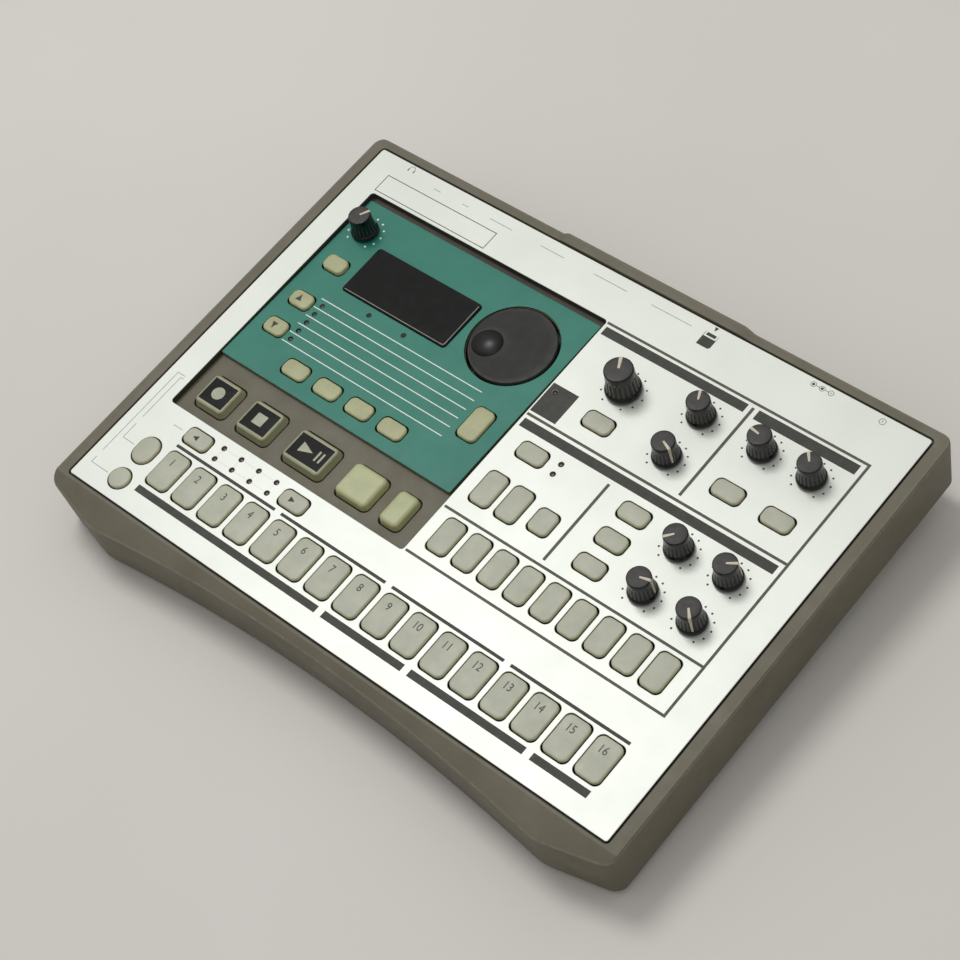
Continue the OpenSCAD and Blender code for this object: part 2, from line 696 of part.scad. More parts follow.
module control_bodies() {
    color([0.45, 0.47, 0.48]) on_panel() {
        for (c = PANEL_POTS) pot(c, -bush_drop);
        pot(volume_c, green_z(volume_c[1]));
        pot(dial_c, dial_under - 0.4, dial_pot_h);
        // level control behind the small back knob
        difference() {
            box([trim_x - trim_body_w / 2, inner_back - body_back - trim_body_l, -main_z],
                [trim_x + trim_body_w / 2, inner_back - body_back, -socket_z + body_up]);
            along_y(trim_x, -socket_z, inner_back - body_back - trim_bore_l, inner_back,
                trim_shaft_d + 2 * shaft_clear);
        }
        // slide switch and power switch
        box([switch_x - switch_body_w / 2, inner_back - body_back - switch_body_l, -main_z],
            [switch_x + switch_body_w / 2, inner_back - body_back, -socket_z + body_up]);
        box([power_x - power_body_w / 2, power_back - power_body_l, -main_z],
            [power_x + power_body_w / 2, power_back, -socket_z + body_up]);
    }
}

KEY_CENTRES = concat(FACE_KEYS, GREEN_KEYS, TRANSPORT_KEYS);

module key_switches() {
    color([0.2, 0.2, 0.22]) on_panel() for (k = KEY_CENTRES) {
        translate([k[0] - tact_size / 2, k[1] - tact_size / 2, -board_z])
            cube([tact_size, tact_size, tact_h]);
        post(k, -board_z + tact_h - 0.1, -board_z + tact_h + tact_pin_h, tact_pin_d);
    }
}

module lamp(c, top) {
    post(c, -board_z, -board_z + 1.5, lamp_d + 0.6);
    post(c, -board_z + 1.4, top, lamp_d);
}

module panel_lamps() {
    color([0.55, 0.12, 0.08]) on_panel() {
        for (c = FACE_LAMPS) lamp(c, -0.4);
        for (c = GREEN_LAMPS) lamp(c, green_z(c[1]) - 0.3);
    }
}

module audio_jacks() {
    color([0.12, 0.12, 0.12]) on_panel() for (x = JACK_X) difference() {
        union() {
            box([x - jack_w / 2, inner_back - jack_l, -main_z],
                [x + jack_w / 2, inner_back, -socket_z + jack_w / 2]);
            along_y(x, -socket_z, inner_back - 0.1, back_y + jack_nose, jack_ring_d);
        }
        along_y(x, -socket_z, inner_back - jack_l + 2, back_y + jack_nose + cut, jack_bore);
    }
}

module midi_sockets() {
    color([0.1, 0.1, 0.1]) on_panel() for (x = DIN_X) difference() {
        union() {
            box([x - din_w / 2, inner_back - din_l, -main_z],
                [x + din_w / 2, inner_back, deck_under - din_top_gap]);
            along_y(x, -socket_z, inner_back - 0.1, back_y, din_bore);
        }
        difference() {
            along_y(x, -socket_z, back_y - din_depth, back_y + cut, din_bore - 1.4);
            along_y(x, -socket_z, back_y - din_depth - cut, back_y - 0.8, din_core_d);
        }
        for (a = [0:45:180]) along_y(x + din_pin_r * cos(a), -socket_z + din_pin_r * sin(a) - 1.2,
            back_y - din_depth, back_y, din_pin_d);
    }
}

module dc_inlet() {
    color([0.1, 0.1, 0.1]) on_panel() {
        difference() {
            union() {
                box([dc_x - dc_w / 2, inner_back - dc_l + wall_t, -main_z],
                    [dc_x + dc_w / 2, inner_back, -socket_z + back_part_h / 2]);
                back_box(dc_x, dc_w, back_part_h, inner_back - 0.1, back_y);
            }
            along_y(dc_x, -socket_z, back_y - 10, back_y + cut, dc_bore);
        }
        along_y(dc_x, -socket_z, back_y - 10.1, back_y - 1, dc_pin_d);
    }
}

module card_socket() {
    color([0.3, 0.31, 0.32]) on_panel() difference() {
        box([card_x - card_w / 2 - 3, inner_back - card_l, -main_z],
            [card_x + card_w / 2 + 3, inner_back, -socket_z + card_h / 2 + 2]);
        back_box(card_x, card_w, card_h, inner_back - card_l + 3, inner_back + cut);
    }
}

module board_cable() {
    y = main_y0 + cable_y;
    z = -board_z - board_t;
    color([0.75, 0.75, 0.72]) on_panel() {
        box([mid_x - cable_w / 2 - 2, y, -main_z], [mid_x + cable_w / 2 + 2, y + plug_w, -main_z + plug_h]);
        box([mid_x - cable_w / 2 - 2, y, z - plug_h], [mid_x + cable_w / 2 + 2, y + plug_w, z]);
        box([mid_x - cable_w / 2, y + 2, -main_z + plug_h - 0.1],
            [mid_x + cable_w / 2, y + 2.6, z - plug_h + 0.1]);
    }
}

module feet() {
    color([0.1, 0.1, 0.1]) for (x = [-half_w + foot_in, half_w - foot_in],
        y = [base_y0 + foot_in - base_in, base_y1 - foot_in + base_in])
        translate([x, y, 0]) cylinder(h = foot_h, d = foot_d);
}

// A screw with its shank up to z1 and its head's seat at z0; up is 1, or -1 for one driven from above.
module screw(c, z0, z1, d, head_d, head_h) {
    s = sign(z1 - z0);
    post(c, min(z0, z1), max(z0, z1), d);
    difference() {
        post(c, min(z0, z0 - s * head_h), max(z0, z0 - s * head_h), head_d);
        translate([c[0] - head_d / 2, c[1] - 0.35, z0 - s * head_h - 0.5]) cube([head_d, 0.7, 1]);
    }
}

module screws() {
    color([0.6, 0.6, 0.58]) on_panel() {
        for (c = CASE_SCREWS)
            screw(c, -wall_h - screw_seat, -wall_h + screw_bite, screw_d, screw_head_d, screw_head_h);
        for (c = BOARD_SCREWS) screw(c, -board_z - board_t, -board_z + small_bite,
            small_screw_d, small_head_d, small_head_h);
        for (c = MAIN_SCREWS) screw(c, -main_z, -main_z - board_t - small_bite,
            small_screw_d, small_head_d, small_head_h);
    }
}

// ================= moving controls =================

module data_dial() {
    dimple_ball = (dimple_r * dimple_r + dimple_depth * dimple_depth) / (2 * dimple_depth);
    color([0.23, 0.235, 0.24]) on_panel() difference() {
        union() {
            at(dial_c, dial_under) rotate_extrude() polygon([[0, 0], [dial_dia / 2, 0],
                [dial_dia / 2, dial_t - 0.4], [dial_dia / 2 - 0.4, dial_t], [0, dial_t]]);
            post(dial_c, -board_z + shaft_floor + stop_gap, dial_under + 0.1, shaft_d);
        }
        at(dial_c + dimple_off * [cos(dimple_angle), sin(dimple_angle)],
            -dial_top - dimple_depth + dimple_ball) sphere(dimple_ball);
    }
}

// Outline of a knob: flange, flared body and dished top, k times the small knob's size.
function knob_outline(k) = [[0, 0], [k * knob_flange / 2, 0], [k * knob_flange / 2, k * 0.9],
    [k * (knob_body / 2 + 0.1), k * 1.3], [k * (knob_body / 2 - 0.3), k * 3.4],
    [k * (knob_top / 2 + 0.3), k * knob_h * 0.72], [k * (knob_top / 2 + 0.1), k * knob_h - 0.7],
    [k * knob_top / 2 - 0.5, k * knob_h], [0, k * knob_h]];

// A knob with its shaft: turn is the pointer's angle clockwise from the back.
module knob(c, under, turn, outline, h, r) {
    color([0.09, 0.09, 0.09]) on_panel() at(c, under) rotate([0, 0, -turn]) {
        difference() {
            rotate_extrude() polygon(outline);
            translate([-0.7, 0.8, h - 0.3]) cube([1.4, r, 1]);
        }
        translate([0, 0, -board_z + shaft_floor + stop_gap - under])
            cylinder(h = board_z - shaft_floor - stop_gap + under + 0.1, d = shaft_d);
    }
}

module panel_knob(i, turn) {
    knob(SMALL_KNOBS[i], knob_gap, turn, knob_outline(1), knob_h, knob_top / 2);
}

module knob_volume() {
    knob(volume_c, green_z(volume_c[1]) + knob_gap, 31, knob_outline(1), knob_h, knob_top / 2);
}

module knob_type() {
    knob(type_c, knob_gap, -28, knob_outline(type_knob_scale), type_knob_scale * knob_h,
        type_knob_scale * knob_top / 2);
}

module knob_edit_1() {
    panel_knob(0, -25);
}

module knob_edit_2() {
    panel_knob(1, 113);
}

module knob_depth() {
    panel_knob(2, -80);
}

module knob_time() {
    panel_knob(3, -40);
}

module knob_pitch() {
    panel_knob(4, -138);
}

module knob_filter() {
    panel_knob(5, 57);
}

module knob_level() {
    panel_knob(6, 75);
}

module knob_pan() {
    panel_knob(7, 138);
}

module input_level_knob() {
    color([0.12, 0.12, 0.12]) on_panel() {
        difference() {
            along_y(trim_x, -socket_z, inner_back + 0.2, back_y + control_out, trim_knob_d);
            box([trim_x - 0.5, back_y + control_out - 0.6, -socket_z],
                [trim_x + 0.5, back_y + control_out + cut, -socket_z + trim_knob_d]);
        }
        along_y(trim_x, -socket_z, inner_back - body_back - trim_bore_l + stop_gap,
            inner_back + stop_gap, trim_shaft_d);
    }
}

module input_switch() {
    color([0.12, 0.12, 0.12]) on_panel()
        back_box(switch_x - switch_travel / 2, switch_nub, switch_nub_h,
            inner_back - body_back + stop_gap, back_y + switch_out);
}

module power_button() {
    color([0.12, 0.12, 0.12]) on_panel() {
        back_box(power_x, power_w, power_w, inner_back - stop_gap - flange_t / 2, back_y + control_out);
        back_box(power_x, power_w + 2 * flange_out, power_w + 2 * flange_out,
            inner_back - stop_gap - flange_t, inner_back - stop_gap);
    }
}

// A group of keys: caps through the deck whose underside is given, flanges below it, stems to the switches.
module keys(list, top, under) {
    on_panel() for (k = list) {
        key_block(k, under - stop_gap - 0.1, top);
        key_box(k, under - stop_gap - flange_t, under - stop_gap, flange_out);
        post(k, stem_end, under - stop_gap - flange_t + 0.1, stem_d);
    }
}

module step_key(i) {
    color([0.7, 0.71, 0.64]) keys([STEP_KEYS[i]], key_up, deck_under);
}

module face_keys(list) {
    color([0.7, 0.71, 0.64]) keys(list, key_up, deck_under);
}

module green_keys(list) {
    color([0.78, 0.76, 0.59]) keys(list, green_key_up, win_under);
}

module transport_key(list) {
    color([0.76, 0.78, 0.59]) keys(list, transport_up, win_under);
}

module record_key() {
    transport_key(RECORD_KEYS);
}

module stop_key() {
    transport_key(STOP_KEYS);
}

module play_key() {
    transport_key(PLAY_KEYS);
}

module tap_key() {
    transport_key(TAP_KEYS);
}

module hold_key() {
    transport_key(HOLD_KEYS);
}

module column_keys() {
    green_keys(COLUMN_KEYS);
}

module mode_keys() {
    green_keys(MODE_KEYS);
}

module write_key() {
    green_keys(WRITE_KEYS);
}

module select_keys() {
    face_keys(SELECT_KEYS);
}

module part_keys() {
    face_keys(PART_KEYS);
}

module slice_keys() {
    face_keys(SLICE_KEYS);
}

module function_keys() {
    face_keys(FUNCTION_KEYS);
}

module step_key_1() {
    step_key(0);
}

module step_key_2() {
    step_key(1);
}

module step_key_3() {
    step_key(2);
}

module step_key_4() {
    step_key(3);
}

module step_key_5() {
    step_key(4);
}

module step_key_6() {
    step_key(5);
}

module step_key_7() {
    step_key(6);
}

module step_key_8() {
    step_key(7);
}

module step_key_9() {
    step_key(8);
}

module step_key_10() {
    step_key(9);
}

module step_key_11() {
    step_key(10);
}

module step_key_12() {
    step_key(11);
}

module step_key_13() {
    step_key(12);
}

module step_key_14() {
    step_key(13);
}

module step_key_15() {
    step_key(14);
}

module step_key_16() {
    step_key(15);
}

bottom_case();
top_case();
faceplate();
display_panel();
display_lens();
display_module();
panel_board();
main_board();
control_bodies();
key_switches();
panel_lamps();
audio_jacks();
midi_sockets();
dc_inlet();
card_socket();
board_cable();
feet();
screws();
data_dial();
knob_volume();
knob_type();
knob_edit_1();
knob_edit_2();
knob_depth();
knob_time();
knob_pitch();
knob_filter();
knob_level();
knob_pan();
input_level_knob();
input_switch();
power_button();
record_key();
stop_key();
play_key();
tap_key();
hold_key();
column_keys();
mode_keys();
write_key();
select_keys();
part_keys();
slice_keys();
function_keys();
step_key_1();
step_key_2();
step_key_3();
step_key_4();
step_key_5();
step_key_6();
step_key_7();
step_key_8();
step_key_9();
step_key_10();
step_key_11();
step_key_12();
step_key_13();
step_key_14();
step_key_15();
step_key_16();
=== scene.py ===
"""Looks of a table-top drum machine: case, faceplate, green display panel, dial, knobs and keys."""

import math

import bpy
import numpy as np
from mathutils import Matrix, Vector
from mathutils.geometry import delaunay_2d_cdt


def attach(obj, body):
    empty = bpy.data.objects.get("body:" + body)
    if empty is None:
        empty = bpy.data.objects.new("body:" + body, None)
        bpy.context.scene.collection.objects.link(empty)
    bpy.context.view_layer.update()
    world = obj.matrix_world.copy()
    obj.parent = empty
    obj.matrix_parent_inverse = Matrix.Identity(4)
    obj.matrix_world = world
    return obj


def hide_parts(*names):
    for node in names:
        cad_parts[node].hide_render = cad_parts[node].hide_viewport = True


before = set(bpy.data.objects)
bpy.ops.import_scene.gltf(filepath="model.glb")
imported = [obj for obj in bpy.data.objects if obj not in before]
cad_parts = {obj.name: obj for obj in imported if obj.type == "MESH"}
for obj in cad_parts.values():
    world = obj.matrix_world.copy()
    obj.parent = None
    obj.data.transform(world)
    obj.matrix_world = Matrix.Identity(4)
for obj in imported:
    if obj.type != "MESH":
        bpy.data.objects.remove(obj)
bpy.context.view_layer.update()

# ---------------------------------------------------------------- the panel's own frame, millimetres
TILT = math.radians(3.0)
FACE_MID = 143.35
FACE_W, FACE_D = 286.7, 200.4
FRONT_Y, FRONT_UP = -98.0497, 31.0


def to_world(p):
    """Panel millimetres to world metres: X less half the faceplate, Y and Z turned by the tilt, raised."""
    p = np.asarray(p, float)
    c, s = math.cos(TILT), math.sin(TILT)
    return np.stack([p[..., 0] - FACE_MID, FRONT_Y + p[..., 1] * c - p[..., 2] * s,
                     FRONT_UP + p[..., 1] * s + p[..., 2] * c], -1) / 1000


def to_panel(p):
    """World millimetres to panel millimetres: lowered, then Y and Z turned back by the tilt."""
    p = np.asarray(p, float) - (-FACE_MID, FRONT_Y, FRONT_UP)
    c, s = math.cos(TILT), math.sin(TILT)
    return np.stack([p[..., 0], p[..., 1] * c + p[..., 2] * s, p[..., 2] * c - p[..., 1] * s], -1)


def in_scene(name, data):
    """A new object with this data, linked to the scene."""
    thing = bpy.data.objects.new(name, data)
    bpy.context.scene.collection.objects.link(thing)
    return thing


# ---------------------------------------------------------------- camera
def set_camera():
    """The pinhole whose rows below turn panel axes into right, down and forward, 912 mm off."""
    turn = np.array([[0.74614306, 0.6340393, -0.20313714], [0.45652911, -0.70931837, -0.53707412],
                     [-0.48461501, 0.30799611, -0.81871038]])
    eye = to_world(np.array([579.122, -181.772, 725.651]))
    tilt = np.array([[1, 0, 0], [0, math.cos(TILT), -math.sin(TILT)], [0, math.sin(TILT), math.cos(TILT)]])
    axes = tilt @ turn.T @ np.diag([1, -1, -1])
    data = bpy.data.cameras.new("camera")
    data.lens, data.sensor_width, data.clip_end = 84.53, 36.0, 20
    cam = in_scene("camera", data)
    pose = Matrix(axes.tolist()).to_4x4()
    pose.translation = Vector(eye)
    cam.matrix_world = pose
    bpy.context.scene.camera = cam


set_camera()


# ---------------------------------------------------------------- finishes
def screen(r, g, b):
    """Screen values 0 to 255 as linear light, the screen's curve undone."""
    c = np.array([r, g, b]) / 255.0
    lin = np.where(c <= 0.04045, c / 12.92, ((c + 0.055) / 1.055) ** 2.4)
    return (*[float(x) for x in lin], 1.0)


def settle(part, **inputs):
    """Sets a node's inputs by name, an underscore for each blank, and gives the node back."""
    for key, value in inputs.items():
        part.inputs[key.replace("_", " ")].default_value = value
    return part


def noise(tree, scale, detail=2.0, rough=0.5):
    """A noise on the piece's own coordinates; scale is in cells per metre."""
    where = tree.nodes.new("ShaderNodeTexCoord")
    n = settle(tree.nodes.new("ShaderNodeTexNoise"), Scale=scale, Detail=detail, Roughness=rough)
    tree.links.new(where.outputs["Object"], n.inputs["Vector"])
    return n.outputs["Fac"]


def ramp(tree, source, stops):
    """A colour ramp over a value: stops are (place, colour)."""
    r = tree.nodes.new("ShaderNodeValToRGB")
    while len(r.color_ramp.elements) < len(stops):
        r.color_ramp.elements.new(0.5)
    for e, (place, colour) in zip(r.color_ramp.elements, stops):
        e.position, e.color = place, colour
    tree.links.new(source, r.inputs["Fac"])
    return r.outputs["Color"]


def spread(tree, source, lo, hi, a=0.3, b=0.7):
    """The value's stretch from a to b mapped on lo to hi."""
    m = settle(tree.nodes.new("ShaderNodeMapRange"), From_Min=a, From_Max=b, To_Min=lo, To_Max=hi)
    tree.links.new(source, m.inputs["Value"])
    return m.outputs["Result"]


def blend_colour(tree, factor, one, two):
    """Colour one where the factor is 0, colour two where it is 1; either may be a socket."""
    m = tree.nodes.new("ShaderNodeMix")
    m.data_type = "RGBA"
    tree.links.new(factor, m.inputs[0])
    for socket, value in ((m.inputs[6], one), (m.inputs[7], two)):
        if isinstance(value, tuple):
            socket.default_value = value
        else:
            tree.links.new(value, socket)
    return m.outputs[2]


def times(tree, a, b):
    m = tree.nodes.new("ShaderNodeMath")
    m.operation = "MULTIPLY"
    tree.links.new(a, m.inputs[0])
    tree.links.new(b, m.inputs[1])
    return m.outputs[0]


def finish(name, dark, light, patch=60.0, rough=(0.4, 0.5), grain=None, metallic=0.0, coat=0.0, edge=None,
           flecks=None, specular=0.5, depth=0.0):
    """One moulded, painted or metal finish; its colours are screen values.

    The colour wanders between dark and light with a soft noise, the roughness with another.
    grain is (cells per metre, height in metres) of the surface's relief, edge is the colour of rubbed edges
    and of painted edge highlights, which a per-point attribute brings in where it is high, flecks is
    (cells per metre, share) of a fine lighter speckle, coat is the weight of a clear coat and depth the
    share of light that goes under the surface.
    """
    dark, light = screen(*dark), screen(*light)
    m = bpy.data.materials.new(name)
    m.use_nodes = True
    tree = m.node_tree
    shader = settle(tree.nodes["Principled BSDF"], Metallic=metallic, Specular_IOR_Level=specular)
    if coat:
        settle(shader, Coat_Weight=coat, Coat_Roughness=0.08)
    if depth:
        settle(shader, Subsurface_Weight=depth, Subsurface_Radius=(1.0, 0.9, 0.6), Subsurface_Scale=0.0015)
    colour = ramp(tree, noise(tree, patch, 3.0, 0.55), ((0.32, dark), (0.68, light)))
    if flecks:
        cells, share = flecks
        mask = spread(tree, noise(tree, cells, 1.0, 0.5), 0.0, share, 0.48, 0.7)
        colour = blend_colour(tree, mask, colour, (*(min(1.0, c * 1.35) for c in light[:3]), 1.0))
    if edge:
        worn = tree.nodes.new("ShaderNodeAttribute")
        worn.attribute_name = "worn"
        broken = spread(tree, noise(tree, 420.0, 3.0, 0.6), 0.35, 1.0)
        colour = blend_colour(tree, times(tree, worn.outputs["Fac"], broken), colour, screen(*edge))
    tree.links.new(colour, shader.inputs["Base Color"])
    tree.links.new(spread(tree, noise(tree, patch * 2.3, 3.0, 0.6), *rough), shader.inputs["Roughness"])
    if grain:
        cells, relief = grain
        bump = settle(tree.nodes.new("ShaderNodeBump"), Distance=relief, Strength=1.0)
        tree.links.new(noise(tree, cells, 2.0, 0.6), bump.inputs["Height"])
        tree.links.new(bump.outputs["Normal"], shader.inputs["Normal"])
    return m


# The edge colours below come in on eased edges: partly rubbed plastic and paint, partly painted highlight; on
# the knobs' flute ridges they are painted highlight only.
CASE = finish("case_grey", (96, 91, 74), (107, 102, 85), 45, (0.5, 0.62), (2600, 0.00006),
              edge=(146, 141, 124), flecks=(3800, 0.3))
TRAY = finish("tray_grey", (82, 78, 66), (94, 90, 77), 45, (0.55, 0.65), (2600, 0.00006),
              edge=(120, 116, 104))
SILVER = finish("faceplate_silver", (213, 216, 207), (220, 223, 214), 25, (0.42, 0.45),
                (5200, 0.000012), metallic=0.3, flecks=(5200, 0.18), edge=(240, 240, 236))
GREEN = finish("panel_green", (22, 116, 98), (31, 124, 105), 40, (0.44, 0.52), (4200, 0.00001),
               flecks=(5200, 0.08), edge=(120, 176, 160))
LENS = finish("window_smoke", (8, 7, 5), (12, 10, 8), 90, (0.1, 0.16), specular=0.3)
# painted highlight: a bright line along the window's front and right edges
LENS_HIGHLIGHT = finish("window_painted_highlight", (128, 124, 112), (158, 154, 142), 300, (0.15, 0.25), coat=0.6)
DIAL = finish("dial_charcoal", (34, 33, 30), (41, 40, 36), 80, (0.5, 0.58), (3800, 0.00003),
              edge=(92, 92, 90), flecks=(4200, 0.12), specular=0.3)
# painted shade: the dial's finger bowl, darker than the disc; it is also glossier
BOWL_PAINTED_SHADE = finish("dial_bowl_painted_shade", (16, 15, 13), (21, 20, 18), 80, (0.36, 0.42), specular=0.5)
# painted shade: a darker tone of the case plastic for places that sit in shadow: the groove round the
# faceplate, the window's walls, the ledge behind the green panel and the cut walls of holes
PAINTED_SHADE = finish("deck_painted_shade", (56, 49, 41), (64, 56, 47), 45, (0.55, 0.65), (2600, 0.00004))
KNOB = finish("knob_black", (13, 12, 11), (19, 18, 16), 200, (0.2, 0.28), (4200, 0.00001),
              edge=(72, 70, 66))
KNOB_TOP = finish("knob_top", (48, 46, 43), (57, 55, 51), 240, (0.5, 0.6), (4200, 0.000018))
POINTER = finish("pointer_cream", (194, 186, 162), (210, 202, 179), 300, (0.4, 0.5))
KEY = finish("key_grey_green", (175, 177, 158), (187, 188, 169), 130, (0.42, 0.52), (3000, 0.000012),
             edge=(206, 202, 158), depth=0.25)
GREEN_KEY = finish("key_cream", (166, 168, 127), (178, 180, 138), 130, (0.42, 0.52), (3000, 0.000012),
                   edge=(206, 198, 144), depth=0.25)
PLAY_KEY = finish("key_yellow_green", (174, 178, 134), (186, 190, 146), 110, (0.4, 0.5),
                  (3000, 0.000012), edge=(190, 188, 134), depth=0.2)
MOVE_KEY = finish("key_label_rim", (150, 152, 122), (162, 164, 134), 110, (0.4, 0.5),
                  (3000, 0.000012), edge=(160, 158, 122), depth=0.2)
# painted shade: the key's skirt, dark as the shadowed gap round each key
SKIRT_PAINTED_SHADE = finish("key_skirt_painted_shade", (40, 39, 34), (48, 46, 40), 200, (0.6, 0.7))
LABEL = finish("key_label_black", (17, 17, 16), (23, 23, 21), 300, (0.42, 0.5), specular=0.15)
SIGN = finish("sign_pale", (162, 164, 140), (172, 174, 150), 300, (0.4, 0.5))
INK = finish("ink_black", (64, 64, 58), (72, 72, 66), 300, (0.5, 0.6), specular=0.25)
FRAME_INK = finish("ink_frame", (88, 87, 78), (97, 96, 87), 300, (0.5, 0.6), specular=0.25)
KEY_INK = finish("ink_on_keys", (80, 80, 72), (88, 88, 80), 300, (0.5, 0.6), specular=0.25)
INK_GREY = finish("ink_grey", (118, 118, 116), (130, 130, 128), 300, (0.42, 0.52))
INK_WHITE = finish("ink_white", (228, 236, 226), (238, 244, 234), 300, (0.42, 0.52))
LAMP = finish("lamp_red", (44, 12, 11), (62, 17, 15), 900, (0.3, 0.4), coat=0.15)
SOCKET = finish("socket_black", (20, 20, 20), (28, 28, 28), 200, (0.35, 0.45), (3000, 0.00002))
# painted shade: a near-black for holes, recesses and grooves
BORE_PAINTED_SHADE = finish("bore_painted_shade", (8, 8, 8), (14, 14, 14), 200, (0.6, 0.7))
NICKEL = finish("nickel", (176, 174, 168), (196, 194, 188), 300, (0.22, 0.32), metallic=1.0)
SCREW = finish("screw_steel", (96, 95, 92), (118, 116, 112), 400, (0.32, 0.42), metallic=1.0)
RUBBER = finish("foot_rubber", (28, 28, 27), (36, 36, 34), 200, (0.7, 0.8), (2600, 0.00005))
BOARD = finish("board_green", (30, 74, 44), (38, 86, 52), 160, (0.4, 0.5), (1200, 0.00002))
DULL_METAL = finish("control_steel", (130, 130, 126), (152, 152, 146), 200, (0.35, 0.45), metallic=1.0)
CABLE = finish("cable_grey", (180, 180, 172), (194, 194, 186), 700, (0.5, 0.6))
MODULE = finish("display_module", (58, 62, 54), (66, 70, 60), 120, (0.4, 0.5))


# ---------------------------------------------------------------- making a mesh
def signed_volume(points, faces):
    """Six times the volume inside the faces: the sum of triple products over fans of each face."""
    total = 0.0
    for group in faces:
        f = np.asarray(group)
        a = points[f[:, 0]]
        for k in range(1, f.shape[1] - 1):
            total += float(np.einsum("ij,ij->", a, np.cross(points[f[:, k]], points[f[:, k + 1]])))
    return total


SHARP_EDGE = math.radians(38)


class Moulding:
    """One visible piece: closed shapes gathered in panel millimetres, made a mesh in world metres."""

    def __init__(self, name):
        self.name, self.points, self.faces, self.marks = name, [], [], []
        self.worn, self.finishes, self.count = [], [], 0

    def slot_of(self, finish_):
        if finish_ not in self.finishes:
            self.finishes.append(finish_)
        return self.finishes.index(finish_)

    def add(self, points, faces, finish_, smooth=True, worn=None, turn=True):
        """Adds a closed shape; faces are arrays of equal-sided faces, turned to point outwards as one."""
        points = np.asarray(points, float)
        faces = [np.asarray(f) for f in faces if len(f)]
        if turn and signed_volume(points, faces) < 0:
            faces = [f[:, ::-1] for f in faces]
        slot = self.slot_of(finish_)
        for f in faces:
            self.faces += (f + self.count).tolist()
            self.marks += [(slot, smooth and f.shape[1] == 4)] * len(f)
        self.points.append(points)
        self.worn.append(np.zeros(len(points)) if worn is None else np.asarray(worn, float))
        self.count += len(points)

    def refinish(self, which, finish_):
        """Gives the faces with these numbers another finish."""
        slot = self.slot_of(finish_)
        for i in which:
            self.marks[i] = (slot, self.marks[i][1])

    def mesh(self, finishes):
        mesh = bpy.data.meshes.new(self.name)
        mesh.from_pydata(to_world(np.concatenate(self.points)).tolist(), [], self.faces)
        for f in finishes:
            mesh.materials.append(f)
        return mesh

    def make(self, body, *replaced, slot=None, bores=None):
        """Puts the piece in the scene, riding on its body; edges past SHARP_EDGE stay crisp."""
        mesh = self.mesh(self.finishes)
        mesh.polygons.foreach_set("material_index", [m for m, _ in self.marks])
        mesh.polygons.foreach_set("use_smooth", [s for _, s in self.marks])
        mesh.attributes.new("worn", "FLOAT", "POINT").data.foreach_set(
            "value", np.concatenate(self.worn).astype(np.float32))
        piece = in_scene(self.name, mesh)
        if bores:
            mesh = bored(piece, bores)
            piece.data = mesh
        soft = np.zeros(len(mesh.polygons), bool)
        mesh.polygons.foreach_get("use_smooth", soft)
        mesh.set_sharp_from_angle(angle=SHARP_EDGE)
        mesh.polygons.foreach_set("use_smooth", soft)
        mesh.validate()
        mesh.update()
        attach(piece, body)
        if replaced:
            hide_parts(*replaced)


def bored(piece, cutter):
    """The piece's mesh with the cutter's closed shapes taken out of it."""
    tool = in_scene(cutter.name, cutter.mesh(piece.data.materials))
    cut = piece.modifiers.new("bores", "BOOLEAN")
    cut.operation, cut.solver, cut.object = "DIFFERENCE", "EXACT", tool
    done = bpy.data.meshes.new_from_object(piece.evaluated_get(bpy.context.evaluated_depsgraph_get()))
    piece.modifiers.remove(cut)
    bpy.data.objects.remove(tool)
    done.name = piece.name
    return done


def ring_quads(m, n, rows):
    """Quads between neighbours of m rings of n points: along the first, over, back along the second."""
    i, j = np.meshgrid(np.arange(rows), np.arange(n), indexing="ij")
    k, l = (i + 1) % m, (j + 1) % n
    return np.stack([i * n + j, i * n + l, k * n + l, k * n + j], -1).reshape(-1, 4)


def loft(piece, rings, finish_, worn=None, smooth=True, ring=False):
    """A skin over rings of equally many points: quads between neighbours, flat faces over the two ends.

    With ring, the last ring joins the first instead and nothing is capped. The weights for rubbed edges
    and painted highlights have a value for each ring or for each point.
    """
    rings = np.asarray(rings, float)
    m, n = rings.shape[:2]
    faces = [ring_quads(m, n, m if ring else m - 1)]
    if not ring:
        faces += [np.arange(n)[::-1][None], (np.arange(n) + (m - 1) * n)[None]]
    if worn is not None:
        worn = np.repeat(worn, n) if np.ndim(worn) == 1 else np.ravel(worn)
    piece.add(rings.reshape(-1, 3), faces, finish_, smooth, worn)


def with_height(loop, z, lift=0.0):
    """Plan points at a height plus lift: z is a number, one for each point, or a function of X and Y."""
    loop = np.asarray(loop, float)
    if callable(z):
        z = z(*loop.T)
    return np.column_stack([loop, np.broadcast_to(z, len(loop)) + lift])


def shrunk(ring, shares):
    """The ring drawn in to its own middle, once for each share."""
    ring = np.asarray(ring, float)
    mid = ring.mean(0)
    return [mid + (ring - mid) * s for s in shares]


def rounded(cx, cy, w, l, r, grow=0.0, n=7):
    """A rectangle w by l about a centre, corners quarter circles of radius r, all sides moved out by grow."""
    hw, hl = w / 2 + grow, l / 2 + grow
    r = float(np.clip(r + grow, 0.02, min(hw, hl) - 0.004))
    a = np.radians(np.concatenate([np.linspace(q, q + 90, n + 1) for q in (0, 90, 180, 270)]))
    sx = np.repeat([1, -1, -1, 1], n + 1)
    sy = np.repeat([1, 1, -1, -1], n + 1)
    return np.column_stack([cx + sx * (hw - r) + r * np.cos(a), cy + sy * (hl - r) + r * np.sin(a)])


def circle(cx, cy, r, n=48):
    a = np.linspace(0, 2 * math.pi, n, endpoint=False)
    return np.column_stack([cx + r * np.cos(a), cy + r * np.sin(a)])


def outline_of(k, gap=0.0, n=7):
    """The plan of a rounded rectangle k, moved out by gap, for a growth."""
    return lambda g: rounded(*k, grow=gap + g, n=n)


def round_hole(x, y, r, n=20):
    return lambda g: circle(x, y, r + g, n)


